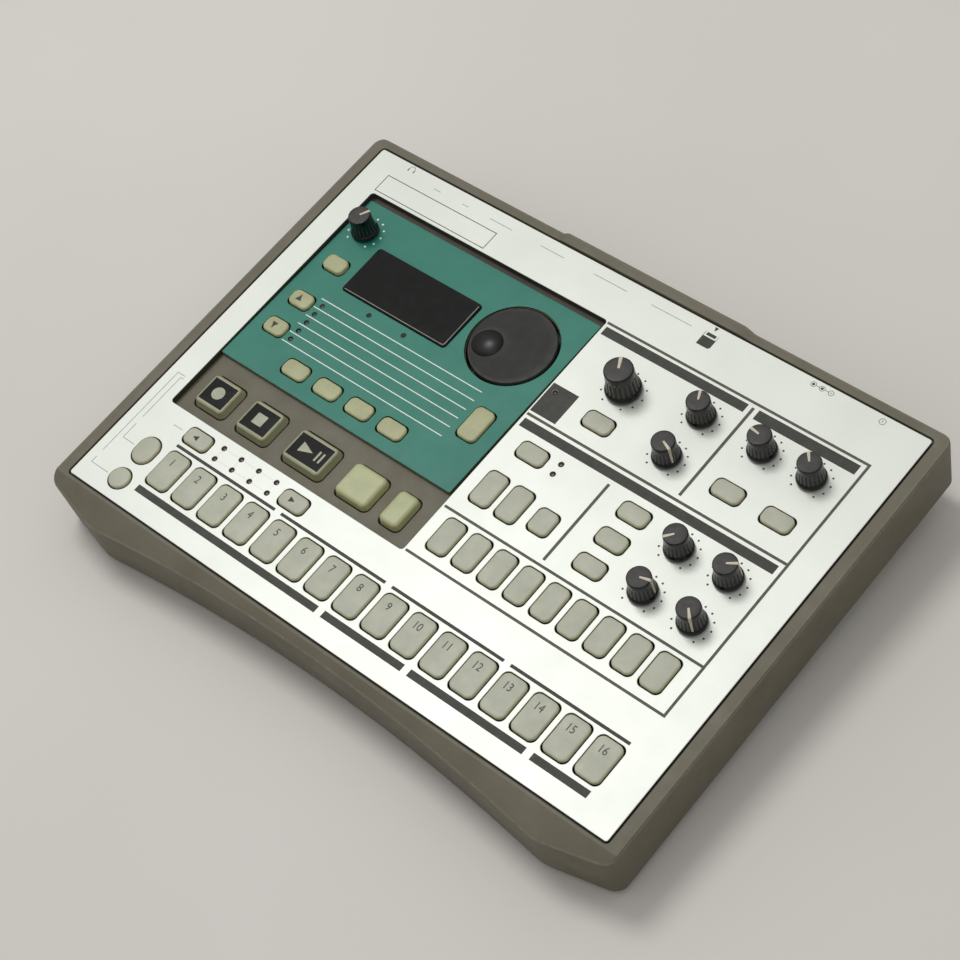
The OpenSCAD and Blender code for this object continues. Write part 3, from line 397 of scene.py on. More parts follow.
def box_loop(x0, y0, x1, y1):
    """The plan of a sharp-cornered rectangle, for a growth."""
    return lambda g: np.array([[x0 - g, y0 - g], [x1 + g, y0 - g], [x1 + g, y1 + g], [x0 - g, y1 + g]], float)


def odd_inside(points, loops):
    """True for points with an odd number of loop sides to their right."""
    inside = np.zeros(len(points), bool)
    for loop in loops:
        a, b = loop, np.roll(loop, -1, 0)
        up = (a[:, 1][None] > points[:, 1][:, None]) != (b[:, 1][None] > points[:, 1][:, None])
        rise = np.where(np.abs(b[:, 1] - a[:, 1]) < 1e-12, 1e-12, b[:, 1] - a[:, 1])
        cross_x = a[:, 0] + (points[:, 1][:, None] - a[:, 1]) * (b[:, 0] - a[:, 0]) / rise
        inside ^= (np.sum(up & (cross_x > points[:, 0][:, None]), 1) % 2).astype(bool)
    return inside


def cut_sheet(piece, outline, holes, top, bottom, edge, finish_, steps=3, place=None, wear_and_highlight=1.0, wall=None,
              border=None):
    """A flat sheet with holes and eased top edges; the walls under the edges may have a finish of their
    own, wall, and the outline's wall another, border.

    outline and each hole give their plan points for a growth. Every edge falls from the top along a
    quarter circle of radius edge, then straight down. top may be a height or a function of X and Y. The
    faces over top and bottom are the plan's triangles that lie inside an odd number of loops.
    """
    points, quads, rim, floor, worn, flat, walls = [], [], [], [], [], [], []
    count = 0
    for make, side in [(outline, -1)] + [(hole, 1) for hole in holes]:
        rows = []
        for t in np.linspace(0, 1, steps + 1):
            a = t * math.pi / 2
            rows.append(with_height(make(side * edge * (1 - math.sin(a))), top, -edge * (1 - math.cos(a))))
            # each eased edge takes rubbing and a painted highlight, most at the middle of its quarter circle
            worn += [wear_and_highlight * (1 - abs(2 * t - 1))] * len(rows[0])
        rows.append(with_height(make(0), bottom))
        worn += [0.0] * len(rows[0])
        n, m = len(rows[0]), len(rows)
        quads.append(ring_quads(m, n, m - 1)[:, [0, 3, 2, 1]] + count)
        walls.append(np.repeat(np.arange(m - 1) == m - 2, n))
        points += rows
        rim.append(np.arange(n) + count)
        floor.append(rim[-1] + (m - 1) * n)
        flat.append(rows[0][:, :2])
        count += n * m
    plan = np.concatenate(flat)
    ends = np.cumsum([0] + [len(f) for f in flat])
    sides = np.concatenate([np.column_stack([np.arange(a, b), np.roll(np.arange(a, b), -1)])
                            for a, b in zip(ends[:-1], ends[1:])])
    out = delaunay_2d_cdt([Vector(p) for p in plan.tolist()], sides.tolist(), [], 0, 1e-7)
    assert len(out[0]) == len(plan), (piece.name, len(out[0]), len(plan))
    tri = np.array([o[0] for o in out[3]])[np.asarray(out[2])]
    tri = tri[odd_inside(plan[tri].mean(1), flat)]
    area = np.cross(plan[tri[:, 1]] - plan[tri[:, 0]], plan[tri[:, 2]] - plan[tri[:, 0]])
    tri[area < 0] = tri[area < 0][:, ::-1]
    rim, floor = np.concatenate(rim), np.concatenate(floor)
    points = np.concatenate(points)
    first = len(piece.marks)
    piece.add(place(points) if place else points, [np.concatenate(quads), rim[tri], floor[tri][:, ::-1]],
              finish_, True, worn)
    if wall:
        piece.refinish(first + np.flatnonzero(np.concatenate(walls)), wall)
    if border:
        piece.refinish(first + np.flatnonzero(walls[0]), border)


INK_UP, INK_SINK = 0.03, 0.03


def slab(piece, loop, z, finish_):
    """A print with straight sides: one plan just under the surface and again just over it."""
    loft(piece, [with_height(loop, z, -INK_SINK), with_height(loop, z, INK_UP)], finish_, smooth=False)


def bar(piece, x0, y0, x1, y1, z, finish_):
    """A printed bar: a thin raised rectangle."""
    slab(piece, box_loop(x0, y0, x1, y1)(0), z, finish_)


def dots(piece, centres, r, z, finish_, n=10):
    for cx, cy in centres:
        slab(piece, circle(cx, cy, r, n), z, finish_)


def inlay(piece, loop, z, finish_, shrink=(1.0, 0.7, 0.4, 0.1)):
    """A thin filled shape that follows a surface: plan rings shrunk to the middle, lifted just above the
    surface on top and sunk just below it underneath."""
    plans = shrunk(loop, shrink)
    over = [with_height(p, z, INK_UP) for p in plans[::-1]]
    under = [with_height(p, z, -INK_SINK) for p in plans]
    loft(piece, over + under, finish_, smooth=False)


def line(piece, path, width, z, finish_, closed=False):
    """A printed line of one width along a path, its corners mitred: each side is the path moved by half
    the width along the corner's bisector."""
    p = np.asarray(path, float)
    ahead, back = np.roll(p, -1, 0) - p, p - np.roll(p, 1, 0)
    if not closed:
        ahead[-1], back[0] = back[-1], ahead[0]
    ahead /= np.linalg.norm(ahead, axis=1)[:, None]
    back /= np.linalg.norm(back, axis=1)[:, None]
    normal = np.column_stack([-(ahead + back)[:, 1], (ahead + back)[:, 0]])
    normal /= np.linalg.norm(normal, axis=1)[:, None]
    cosine = np.einsum("ij,ij->i", normal, np.column_stack([-back[:, 1], back[:, 0]]))
    off = normal * (width / 2 / np.maximum(cosine, 0.3))[:, None]
    corners = ((p + off, -INK_SINK), (p - off, -INK_SINK), (p - off, INK_UP), (p + off, INK_UP))
    rings = np.stack([with_height(side, z, lift) for side, lift in corners], 1)
    loft(piece, rings, finish_, smooth=False, ring=closed)


NUMERAL_HALF, NUMERAL_LIFT = 0.02, 0.015


def numeral(piece, text, cx, cy, size, height, finish_, stretch=1.0):
    """A plain number: the built-in letter outlines filled, laid on the surface and given a thin edge."""
    curve = bpy.data.curves.new("numeral", "FONT")
    curve.body, curve.size, curve.extrude = text, size, NUMERAL_HALF
    curve.align_x, curve.align_y, curve.resolution_u = "CENTER", "CENTER", 3
    carrier = in_scene("numeral", curve)
    mesh = bpy.data.meshes.new_from_object(carrier.evaluated_get(bpy.context.evaluated_depsgraph_get()))
    p = np.zeros(len(mesh.vertices) * 3)
    mesh.vertices.foreach_get("co", p)
    p = p.reshape(-1, 3) * (stretch, 1, 1) + (cx, cy, 0)
    p[:, 2] += height(p[:, 0], p[:, 1]) + NUMERAL_LIFT
    sizes = {}
    for f in mesh.polygons:
        sizes.setdefault(len(f.vertices), []).append(list(f.vertices))
    piece.add(p, [np.array(f) for f in sizes.values()], finish_, smooth=False, turn=False)
    bpy.data.objects.remove(carrier)
    bpy.data.meshes.remove(mesh)


FLUTE_RISE, FLUTE_FALL = 0.6, 0.5


def turned_rings(cx, cy, profile, n, flutes=None):
    """The rings and painted highlight weights of a shape turned about a line along Z: profile is
    (radius, height) pairs.

    flutes is (count, depth, low, high): between the two heights the radius is cut by depth times a row of
    narrow grooves, the fourth power of a cosine round the axis, and the ridges between them get a painted
    highlight by the sixth power of the sine.
    """
    a = np.linspace(0, 2 * math.pi, n, endpoint=False)
    rings, worn = [], [] if flutes else None
    for r, z in profile:
        radius = np.full(n, float(r))
        if flutes:
            count, depth, low, high = flutes
            share = float(np.clip((z - low) / FLUTE_RISE, 0, 1) * np.clip((high - z) / FLUTE_FALL, 0, 1))
            radius = radius - share * depth * np.cos(a * count / 2) ** 4
            worn.append(share * np.sin(a * count / 2) ** 6)
        rings.append(np.column_stack([cx + radius * np.cos(a), cy + radius * np.sin(a), np.full(n, z)]))
    return rings, worn


def turned(piece, cx, cy, profile, finish_, n=64, flutes=None, ring=False):
    """A turned shape, capped at both ends or, with ring, closed on itself."""
    rings, worn = turned_rings(cx, cy, profile, n, flutes)
    loft(piece, rings, finish_, worn, ring=ring)


# ---------------------------------------------------------------- case
HALF_W, BACK_Y, BACK_RISE = 150.0, 205.6, 0.8
FOOT_HALF_W, INNER_HALF_W, RIM_HALF_W = 149.6, 147.2, 149.3
WALL_H = 27.0
GROOVE, FACE_R = 0.9, 1.2
CASE_MID_Y = 100
WINDOW, WINDOW_R = (12.2, 49.5, 144.4, 179.2), 1.6
WINDOW_Z, WINDOW_FLOOR, DECK_Z, DECK_FLOOR = -3.3, -5.3, -1.5, -4.0
SOCKET_Z = -14.0
FRONT_STEPS, CORNER_STEPS, SIDE_STEPS = 240, 12, 60
BOW_FRONT, BOW_R = 5.9, 874.0
RUN_FROM, CORNER_Y = (119.0, -14.0), -6.6


def unit(v):
    return v / np.linalg.norm(v)


def fillet(p, a, b, r, n):
    """An arc of radius r that touches the two lines from p towards a and b."""
    p, u, v = np.asarray(p, float), unit(np.subtract(a, p)), unit(np.subtract(b, p))
    half = math.acos(float(np.clip(u @ v, -1, 1))) / 2
    centre = p + unit(u + v) * r / math.sin(half)
    s, e = p + u * r / math.tan(half) - centre, p + v * r / math.tan(half) - centre
    a0, a1 = math.atan2(s[1], s[0]), math.atan2(e[1], e[0])
    a1 = a0 + (a1 - a0 + math.pi) % (2 * math.pi) - math.pi
    t = np.linspace(a0, a1, n + 1)
    return centre + r * np.column_stack([np.cos(t), np.sin(t)])


def front_line(u):
    """The front edge u from the middle: the larger of a shallow bow and a straight run to the corner,
    eased together by a root of the squared difference plus one."""
    u = np.abs(u)
    bow = -(BOW_FRONT + u * u / (2 * BOW_R))
    run = RUN_FROM[1] + (u - RUN_FROM[0]) * (CORNER_Y - RUN_FROM[1]) / (HALF_W - RUN_FROM[0])
    return (bow + run + np.sqrt((bow - run) ** 2 + 1.0)) / 2


def loop_of(front, right_corner, back_r, half_w, back_y):
    """A closed plan about the middle: front from left to right, then anticlockwise, in fixed counts."""
    x1 = right_corner[0][0]
    x = np.linspace(-x1, x1, FRONT_STEPS + 1)
    up = np.linspace(right_corner[-1][1], back_y - back_r, SIDE_STEPS + 1)
    side = np.column_stack([np.full(len(up), half_w), up])
    arc = fillet((half_w, back_y), (half_w, 0), (0, back_y), back_r, CORNER_STEPS)
    across = np.linspace(half_w - back_r, -(half_w - back_r), FRONT_STEPS + 1)
    mirrored = [p[::-1] * (-1, 1) for p in (arc, side, right_corner)]
    parts = [np.column_stack([x, front(x)]), right_corner, side, arc,
             np.column_stack([across, np.full(len(across), back_y)]), *mirrored]
    return np.concatenate([p[:-1] for p in parts])


def plan_loop():
    corner = fillet((HALF_W, CORNER_Y), RUN_FROM, (HALF_W, 100), 6.0, CORNER_STEPS)
    return loop_of(front_line, corner, 5.0, HALF_W, BACK_Y)


def groove_loop(grow=0.0):
    w, y0, y1 = FACE_W / 2 + GROOVE + grow, -GROOVE - grow, FACE_D + GROOVE + grow
    r = FACE_R + GROOVE
    corner = fillet((w, y0), (0, y0), (w, 100), r, CORNER_STEPS)
    return loop_of(lambda x: np.full(np.shape(x), y0), corner, r, w, y1)


def step(x, a, b):
    """0 before a, 1 after b, smooth between: three times the square less twice the cube."""
    t = np.clip((x - a) / (b - a), 0, 1)
    return t * t * (3 - 2 * t)


def eased(rings, radii, wear_and_highlight, steps=4):
    """A closed profile's rings with each corner eased by a parabola that starts its radius before it and
    ends its radius after it, at most 45% of the side; rubbing and painted highlight peak in the middle of
    each."""
    out, rub_and_highlight = [], []
    for k, (p, radius, w) in enumerate(zip(rings, radii, wear_and_highlight)):
        ends = []
        for side in (rings[k - 1] - p, rings[(k + 1) % len(rings)] - p):
            length = np.linalg.norm(side, axis=1)[:, None]
            ends.append(p + side / length * np.minimum(radius, 0.45 * length))
        for t in np.linspace(0, 1, steps + 1):
            out.append((1 - t) ** 2 * ends[0] + 2 * t * (1 - t) * p + t * t * ends[1])
            rub_and_highlight.append(w * (1 - abs(2 * t - 1)))
    return out, rub_and_highlight


def raised(ring):
    """The back rim's raised stretch: BACK_RISE up and out from X 100 to 200, fading down the wall."""
    x = ring[:, 0] + FACE_MID
    share = step(x, 99.6, 102.4) * (1 - step(x, 193.4, 200.6)) * (ring[:, 1] > FACE_D + 0.5)
    down = np.clip((ring[:, 2] + WALL_H) / (WALL_H + SOCKET_Z), 0, 1)
    out = ring.copy()
    out[:, 2] += BACK_RISE * share * (ring[:, 2] > -2)
    out[:, 1] += BACK_RISE * share * down * (ring[:, 1] > BACK_Y - 1.5)
    return out


def foot_loop():
    """The plan at the walls' foot: a little narrower, and 0.4 mm further back all along the front."""
    x, y = plan_loop().T
    return np.column_stack([x * FOOT_HALF_W / HALF_W, y + 0.4 * np.minimum(1, np.maximum(0, -y) / -CORNER_Y)])


def shell_rings():
    """The case wall's closed profile round the plan: groove edge, rim, outer crease, foot, inside."""
    plan, groove, foot = plan_loop(), groove_loop(), foot_loop()
    x, y = plan.T
    lip_y, rim_back = -1.6, 204.9
    crease = -0.7 - 0.28 * np.maximum(0, lip_y - y)
    inner = np.column_stack([foot[:, 0] * INNER_HALF_W / FOOT_HALF_W,
                             CASE_MID_Y + (foot[:, 1] - CASE_MID_Y) * (1 - 2.2 / 105)])
    rim = np.column_stack([x * RIM_HALF_W / HALF_W, np.clip(y, lip_y, rim_back)])
    rings = [with_height(groove, 0.0), with_height(rim, 0.0), with_height(plan, crease),
             with_height(foot, -WALL_H), with_height(inner, -WALL_H), with_height(inner, -4.6),
             with_height(groove_loop(-0.2), -4.6)]
    return [raised(r) + (FACE_MID, 0, 0) for r in rings]


def back_hole(piece, loop):
    """A cutter through the back wall: the loop's (X, Z) points in front of it and behind it."""
    inside, outside = 196.0, BACK_Y + 3
    rings = [np.column_stack([loop[:, 0], np.full(len(loop), y), loop[:, 1]]) for y in (inside, outside)]
    loft(piece, rings, CASE, smooth=False)


JACKS_X = (19.3, 40.7, 54.4, 75.5)
ROUND_SOCKETS_X = (125.8, 147.7, 170.3)
LEVEL_X, SWITCH_X, CARD_X, INLET_X, POWER_X = 87.7, 100.7, 205.0, 241.7, 265.7

# ---- controls: centre, width, length, corner radius
TALL, SMALL = (10.4, 16.8, 2.5), (14.0, 8.5, 2.5)
STEP_X, STEP_PITCH, PART_X, PART_PITCH = 36.72, 15.19, 155.55, 13.2
STEPS = [(STEP_X + STEP_PITCH * i, 23.4, 12.4, 18.5, 2.6) for i in range(16)]
PARTS = [(PART_X + PART_PITCH * i, 63.7, *TALL) for i in range(9)]
SLICES = [(PART_X, 89.8, *TALL), (PART_X + PART_PITCH, 89.8, *TALL), (183.5, 89.8, 10.4, 11.8, 2.5)]
FUNCTIONS = [(x, y, *SMALL) for x, y in ((172.8, 137.6), (235.1, 139.7), (258.4, 139.7), (159.7, 111.8),
                                         (211.1, 111.8), (211.1, 98.1), (211.1, 84.5))]
SELECTS = [(STEP_X, 41.6, *SMALL), (92.2, 41.6, *SMALL), (21.2, 25.6, 10.8, 13.9, 5.3),
           (21.2, 9.6, 10.4, 10.4, 5.15)]
MODES = [(x, 90.5, 13.6, 8.5, 2.5) for x in (47.3, 65.6, 83.9, 102.1)]
COLUMN = [(24.0, y, 11.8, 8.5, 2.5) for y in (141.3, 119.2, 102.8)]
WRITE = (130.2, 111.0, *TALL)
TRANSPORT = {name: (x, 63.3, w, 16.9, 2.6) for name, x, w in (
    ("record", 27.6, 17.7), ("stop", 52.2, 18.6), ("play", 81.3, 22.6), ("tap", 109.5, 18.2),
    ("hold", 130.2, 11.0))}
LAMPS_X, LAMPS_Y = (49.1, 59.2, 69.3, 79.5), (44.7, 38.8)
FACE_LAMPS = [(x, y) for y in LAMPS_Y for x in LAMPS_X] + [(172.4, 114.5), (172.4, 109.2), (148.5, 139.9)]
GREEN_LAMPS = [(33.8, 121.7 - 5.05 * i) for i in range(5)] + [(54.6, 128.9), (74.4, 128.9)]
# knobs: centre, and the pointer's turn in degrees, clockwise from the back
KNOBS = {"type": (171.5, 155.6, -28), "edit_1": (205.6, 161.9, -25), "edit_2": (205.6, 139.7, 113),
         "depth": (235.1, 161.8, -80), "time": (258.4, 161.8, -40), "pitch": (235.1, 109.2, -138),
         "filter": (258.4, 109.2, 57), "level": (235.1, 86.9, 75), "pan": (258.4, 86.9, 138)}
VOLUME = (22.8, 162.0, 31)
DIAL_AT, DIAL_R, DIAL_GAP = (117.3, 149.5), 18.8, 1.2
# keys and plates on each surface, gaps round them
FACE_KEYS = STEPS + PARTS + SLICES + FUNCTIONS + SELECTS
GREEN_KEYS = MODES + COLUMN + [WRITE]
GREEN_AT = (77.45, 128.55, 129.9, 96.5, 0.8)
GREEN_FRONT, GREEN_BACK = GREEN_AT[1] - GREEN_AT[3] / 2, GREEN_AT[1] + GREEN_AT[3] / 2
LENS_AT = (64.2, 145.7, 58.7, 25.4, 1.6)
LENS_GAP, FACE_GAP, DECK_GAP, DECK_LAP = 0.15, 0.2, 0.6, 0.6
SHAFT_HOLE_R, LAMP_HOLE_R = 4.3, 1.2


def green_z(x, y):
    """The green panel falls 1.6 mm towards the back over its length."""
    return -1.0 - 1.6 * (np.asarray(y, float) - GREEN_FRONT) / GREEN_AT[3]


def window_outline(lap=0.0):
    """The plan of the faceplate's window, its sides moved out by lap and its corners kept."""
    x0, y0, x1, y1 = WINDOW
    return outline_of(((x0 + x1) / 2, (y0 + y1) / 2, x1 - x0 + 2 * lap, y1 - y0 + 2 * lap, WINDOW_R))


def face_outline(gap=0.0):
    return outline_of((FACE_MID, FACE_D / 2, FACE_W, FACE_D, FACE_R), gap)


def face_holes(gap, key_steps, lamp_steps):
    """The holes of the faceplate and of the deck under it: window, keys, lamps and knob shafts."""
    return ([window_outline()] + [outline_of(k, gap, key_steps) for k in FACE_KEYS]
            + [round_hole(x, y, LAMP_HOLE_R, lamp_steps) for x, y in FACE_LAMPS]
            + [round_hole(x, y, SHAFT_HOLE_R) for x, y, _ in KNOBS.values()])


def green_holes(gap, key_steps, lamp_steps):
    """The holes of the green panel and of the deck under it: keys, lamps and the volume knob's shaft."""
    return ([outline_of(k, gap, key_steps) for k in GREEN_KEYS]
            + [round_hole(x, y, LAMP_HOLE_R, lamp_steps) for x, y in GREEN_LAMPS]
            + [round_hole(*VOLUME[:2], SHAFT_HOLE_R)])


def make_case():
    case = Moulding("case_upper")
    # the rim, the outer crease and the foot carry rubbing and a painted highlight along their eased corners
    rings, rub_and_highlight = eased(shell_rings(), (0.35, 0.9, 1.1, 0.5, 0.3, 0.3, 0.3), (0.25, 0.5, 0.85, 0.35, 0, 0, 0))
    loft(case, rings, CASE, rub_and_highlight, ring=True)
    bores = Moulding("bores")
    for x, r, n in ([(x, 5.6, 40) for x in JACKS_X] + [(x, 7.9, 48) for x in ROUND_SOCKETS_X]
                    + [(LEVEL_X, 3.6, 32)]):
        back_hole(bores, circle(x, SOCKET_Z, r, n))
    for x, w, h, r in ((SWITCH_X, 7.2, 4.2, 0.5), (CARD_X, 38.2, 3.0, 0.4), (INLET_X, 9.6, 10.6, 0.6),
                       (POWER_X, 9.7, 9.7, 0.8)):
        back_hole(bores, rounded(x, SOCKET_Z, w, h, r, n=3))
    return case, bores


def make_decks(case):
    """The decks under the faceplate and in its window, with the holes that the keys and shafts pass, and
    a strip of painted shade behind the green panel; the deck under the faceplate is painted shade too."""
    # painted shade: this deck shows only in the groove round the faceplate and down the window's walls
    cut_sheet(case, face_outline(GROOVE + DECK_LAP), face_holes(DECK_GAP, 5, 12), DECK_Z, DECK_FLOOR, 0.1,
              PAINTED_SHADE, steps=1, wear_and_highlight=0)
    holes = [outline_of(k, FACE_GAP + 0.2, 5) for k in TRANSPORT.values()] + green_holes(DECK_GAP, 5, 12)
    holes += [round_hole(*DIAL_AT, DIAL_R + DIAL_GAP, 64)]
    cut_sheet(case, window_outline(DECK_LAP), holes, WINDOW_Z, WINDOW_FLOOR, 0.25, CASE, steps=2, wear_and_highlight=0.2)
    x0, _, x1, y1 = WINDOW
    # painted shade: the ledge behind the green panel, under the faceplate's edge
    bar(case, x0 + 0.4, GREEN_BACK + 0.05, x1 - 0.4, y1 - 0.05, WINDOW_Z, PAINTED_SHADE)


case, bores = make_case()
make_decks(case)
case.make("housing", "top_case", slot="case_top", bores=bores)


def drawn_in(ring, across, along):
    """The ring shrunk about the case's middle, in X by across and in Y by along."""
    out = ring.copy()
    out[:, 0] = FACE_MID + (ring[:, 0] - FACE_MID) * across
    out[:, 1] = CASE_MID_Y + (ring[:, 1] - CASE_MID_Y) * along
    return out


def make_tray():
    """The tray under the walls: the foot plan drawn in to a flat base, its lower edge well rounded."""
    tray = Moulding("case_lower")
    foot = foot_loop()
    c, s = math.cos(TILT), math.sin(TILT)
    base_up, base_front, base_back, base_half_w = 3.0, -83.05, 97.68, 139
    y0, y1 = foot[:, 1].min(), foot[:, 1].max()
    base_y = base_front + (foot[:, 1] - y0) / (y1 - y0) * (base_back - base_front)
    y = (base_y - FRONT_Y + (base_up - FRONT_UP) * s) / c
    low = np.column_stack([foot[:, 0] * base_half_w / FOOT_HALF_W + FACE_MID, y,
                           (base_up - FRONT_UP - y * s) / c])
    rim = drawn_in(with_height(foot, -WALL_H + 0.2) + (FACE_MID, 0, 0), 0.9985, 0.9985)
    inner = drawn_in(rim, 0.97, 0.96)
    hollow = drawn_in(low, 0.97, 0.97) + (0, 0, 2.2)
    steps = 6
    # the tray's rim and rounded lower edge carry rubbing and a painted highlight
    outer, rub_and_highlight = eased([inner, rim, low], (0.3, 0.5, 3.0), (0, 0.3, 0.5), steps)
    outer, rub_and_highlight = outer[steps + 1:], rub_and_highlight[steps + 1:]
    rings = shrunk(hollow, (0.3, 0.7)) + [hollow, inner] + outer + shrunk(low, (0.9, 0.6, 0.3))
    loft(tray, rings, TRAY, [0, 0, 0, 0, *rub_and_highlight, 0, 0, 0])
    tray.make("housing", "bottom_case", slot="case_bottom")


make_tray()


# ---------------------------------------------------------------- faceplate and green panel
def make_faceplate():
    plate = Moulding("faceplate_sheet")
    # the plate's cut walls are painted shade, and its eased top edges carry a painted highlight
    cut_sheet(plate, face_outline(), face_holes(FACE_GAP, 7, 20), 0.0, DECK_Z, 0.22, SILVER, wall=PAINTED_SHADE)
    plate.make("housing", "faceplate", slot="faceplate")


def make_green_panel():
    panel = Moulding("display_panel_sheet")
    holes = green_holes(FACE_GAP, 7, 20)
    holes += [round_hole(*DIAL_AT, DIAL_R + DIAL_GAP + 0.25, 96), outline_of(LENS_AT, LENS_GAP)]
    # the walls of the panel's holes are painted shade and its eased edges carry a painted highlight; the
    # outline's wall keeps the case colour
    cut_sheet(panel, outline_of(GREEN_AT), holes, green_z, WINDOW_Z, 0.3, GREEN, wall=PAINTED_SHADE, border=CASE)
    panel.make("housing", "display_panel", slot="display_panel")


def make_lens():
    """The smoked window, with a painted highlight line inside its front and right edges."""
    lens = Moulding("display_window")
    cut_sheet(lens, outline_of(LENS_AT, n=10), [], -1.25, WINDOW_Z, 0.45, LENS, steps=4)
    cx, cy, w, l, _ = LENS_AT
    right, front = cx + w / 2 - 0.8, cy - l / 2 + 0.8
    bend = fillet((right, front), (right, cy), (cx, front), 1.2, 8)
    path = np.concatenate([[(right, cy + l / 2 - 1.4)], bend, [(cx - w / 2 + 1.4, front)]])
    # painted highlight along the front and right edges
    line(lens, path, 0.32, -1.24, LENS_HIGHLIGHT)
    lens.make("housing", "display_lens", slot="lens")


make_faceplate()
make_green_panel()
make_lens()


# ---------------------------------------------------------------- keys
CAP_INSET, WIDE_INSET, STEM_END = 0.3, 0.15, -7.1
CROWN = 0.25
FACE_CAP, GREEN_CAP, WIDE_CAP = (1.2, -3.9), (-0.3, -5.2), (0.1, -5.2)


def dome(cx, cy, w, l, top):
    """The height over a key: top at the middle, CROWN lower at the sides, as two parabolas multiplied."""
    def height(x, y):
        u, v = (np.asarray(x) - cx) / (w / 2), (np.asarray(y) - cy) / (l / 2)
        return top - CROWN + CROWN * np.clip(1 - u * u, 0, 1) * np.clip(1 - v * v, 0, 1)
    return height


def key_cap(piece, k, heights, finish_, level, edge=0.7, draft=0.1, inset=CAP_INSET):
    """A key: a skirt painted dark as the shade in the gap round it, with a hidden flange and stem, then
    drafted walls, a quarter-round edge and a pillowed top.

    heights are the cap's top and the skirt's underside, level is the surface that the key comes
    through; the pale cap starts a little under it.
    """
    top, under = heights
    cx, cy, w, l = k[0], k[1], k[2] - 2 * inset, k[3] - 2 * inset
    r = min(k[4] + 0.4, min(w, l) / 2 - 0.02)
    height = dome(cx, cy, w, l, top)
    plan = lambda grow: rounded(cx, cy, w, l, r, grow, 8)
    low, foot, flange = level - 0.35, under - 1.5, inset + 0.6
    skirt = ((-1.5, foot), (flange, foot), (flange, under - 0.45), (-0.05, under - 0.45), (-0.05, low))
    loft(piece, [with_height(plan(g), z) for g, z in skirt], SKIRT_PAINTED_SHADE, smooth=False)
    turned(piece, cx, cy, [(1.85, STEM_END), (2.0, STEM_END + 0.15), (2.0, under - 1.4)], SKIRT_PAINTED_SHADE, 20)
    # the drafted sides and the eased edge take the finish's edge colour, paler and yellower: partly the key's
    # own colour, partly painted highlight
    rings, rub_and_highlight = [], []
    side = top - CROWN - edge
    for t in np.linspace(0, 1, 4):
        rings.append(with_height(plan(-draft * t), low - 0.05 + (max(side, low + 0.1) - low + 0.05) * t))
        rub_and_highlight.append(1.0)
    for a in np.radians(np.linspace(15, 90, 6)):
        p = plan(-draft - edge * (1 - math.cos(a)))
        rings.append(with_height(p, height, side + edge * math.sin(a) - top + CROWN))
        rub_and_highlight.append(0.9 * math.cos(a) ** 1.5)
    shares = (0.93, 0.85, 0.72, 0.55, 0.35, 0.15)
    rings += [with_height(p, height) for p in shrunk(plan(-draft - edge), shares)]
    loft(piece, rings, finish_, rub_and_highlight + [0.0] * len(shares))
    return height


def arrow(cx, cy, size, turn):
    """A triangle whose tip points turn degrees anticlockwise from +X."""
    a = np.radians(turn + np.array([0, 130, 230]))
    return np.column_stack([cx + size * np.cos(a), cy + size * np.sin(a)])


for i, k in enumerate(STEPS):
    name = "step_key_%d" % (i + 1)
    cap = Moulding("cap_step_%d" % (i + 1))
    height = key_cap(cap, k, FACE_CAP, KEY, 0.0)
    numeral(cap, str(i + 1), k[0] - 0.7, k[1] + 3.6, 5.1, height, KEY_INK, 0.85)
    cap.make(name, name, slot="key")


def key_group(name, keys, green=False, signs=None):
    """One piece of several caps that share a body, on the faceplate or on the green panel; signs are
    small arrows, a turn in degrees for a key's number."""
    group = Moulding("caps_" + name)
    for i, k in enumerate(keys):
        height = key_cap(group, k, GREEN_CAP if green else FACE_CAP, GREEN_KEY if green else KEY,
                         float(green_z(*k[:2])) if green else 0.0)
        if signs and i in signs:
            inlay(group, arrow(k[0] - 0.8, k[1], 2.0 if green else 1.7, signs[i]), height, INK)
    group.make(name, name, slot="green_key" if green else "key")


key_group("part_keys", PARTS)
key_group("slice_keys", SLICES)
key_group("function_keys", FUNCTIONS)
key_group("select_keys", SELECTS, signs={0: 180, 1: 0})
key_group("mode_keys", MODES, green=True)
key_group("column_keys", COLUMN, green=True, signs={1: 90, 2: 270})
key_group("write_key", [WRITE], green=True)


def transport_key(name):
    """A large key with drafted sides; record, stop and play carry a black label with a pale sign."""
    k = TRANSPORT[name]
    cx, cy, w, l, _ = k
    key = Moulding("cap_" + name)
    labelled = name in ("record", "stop", "play")
    finish_, edge, draft = (MOVE_KEY, 1.0, 0.85) if labelled else (PLAY_KEY, 1.7, 0.35)
    height = key_cap(key, k, WIDE_CAP, finish_, WINDOW_Z, edge, draft, WIDE_INSET)
    if labelled:
        inlay(key, rounded(cx, cy, w - 4.5, l - 5.3, 0.3, n=4), height, LABEL,
              shrink=(1, 0.85, 0.7, 0.5, 0.3, 0.08))
    over = lambda x, y: height(x, y) + 0.035
    signs = {"record": [circle(cx, cy, 3.05, 36)],
             "stop": [rounded(cx, cy, 5.4, 5.4, 0.05, n=1)],
             "play": [[(cx - 5.2, cy - 2.5), (cx + 1.6, cy), (cx - 5.2, cy + 2.5)],
                      *(rounded(cx + x, cy, 0.95, 4.9, 0.05, n=1) for x in (4.2, 6.35))]}
    for sign in signs.get(name, []):
        inlay(key, sign, over, SIGN)
    key.make(name + "_key", name + "_key", slot="transport_key")


for name in TRANSPORT:
    transport_key(name)


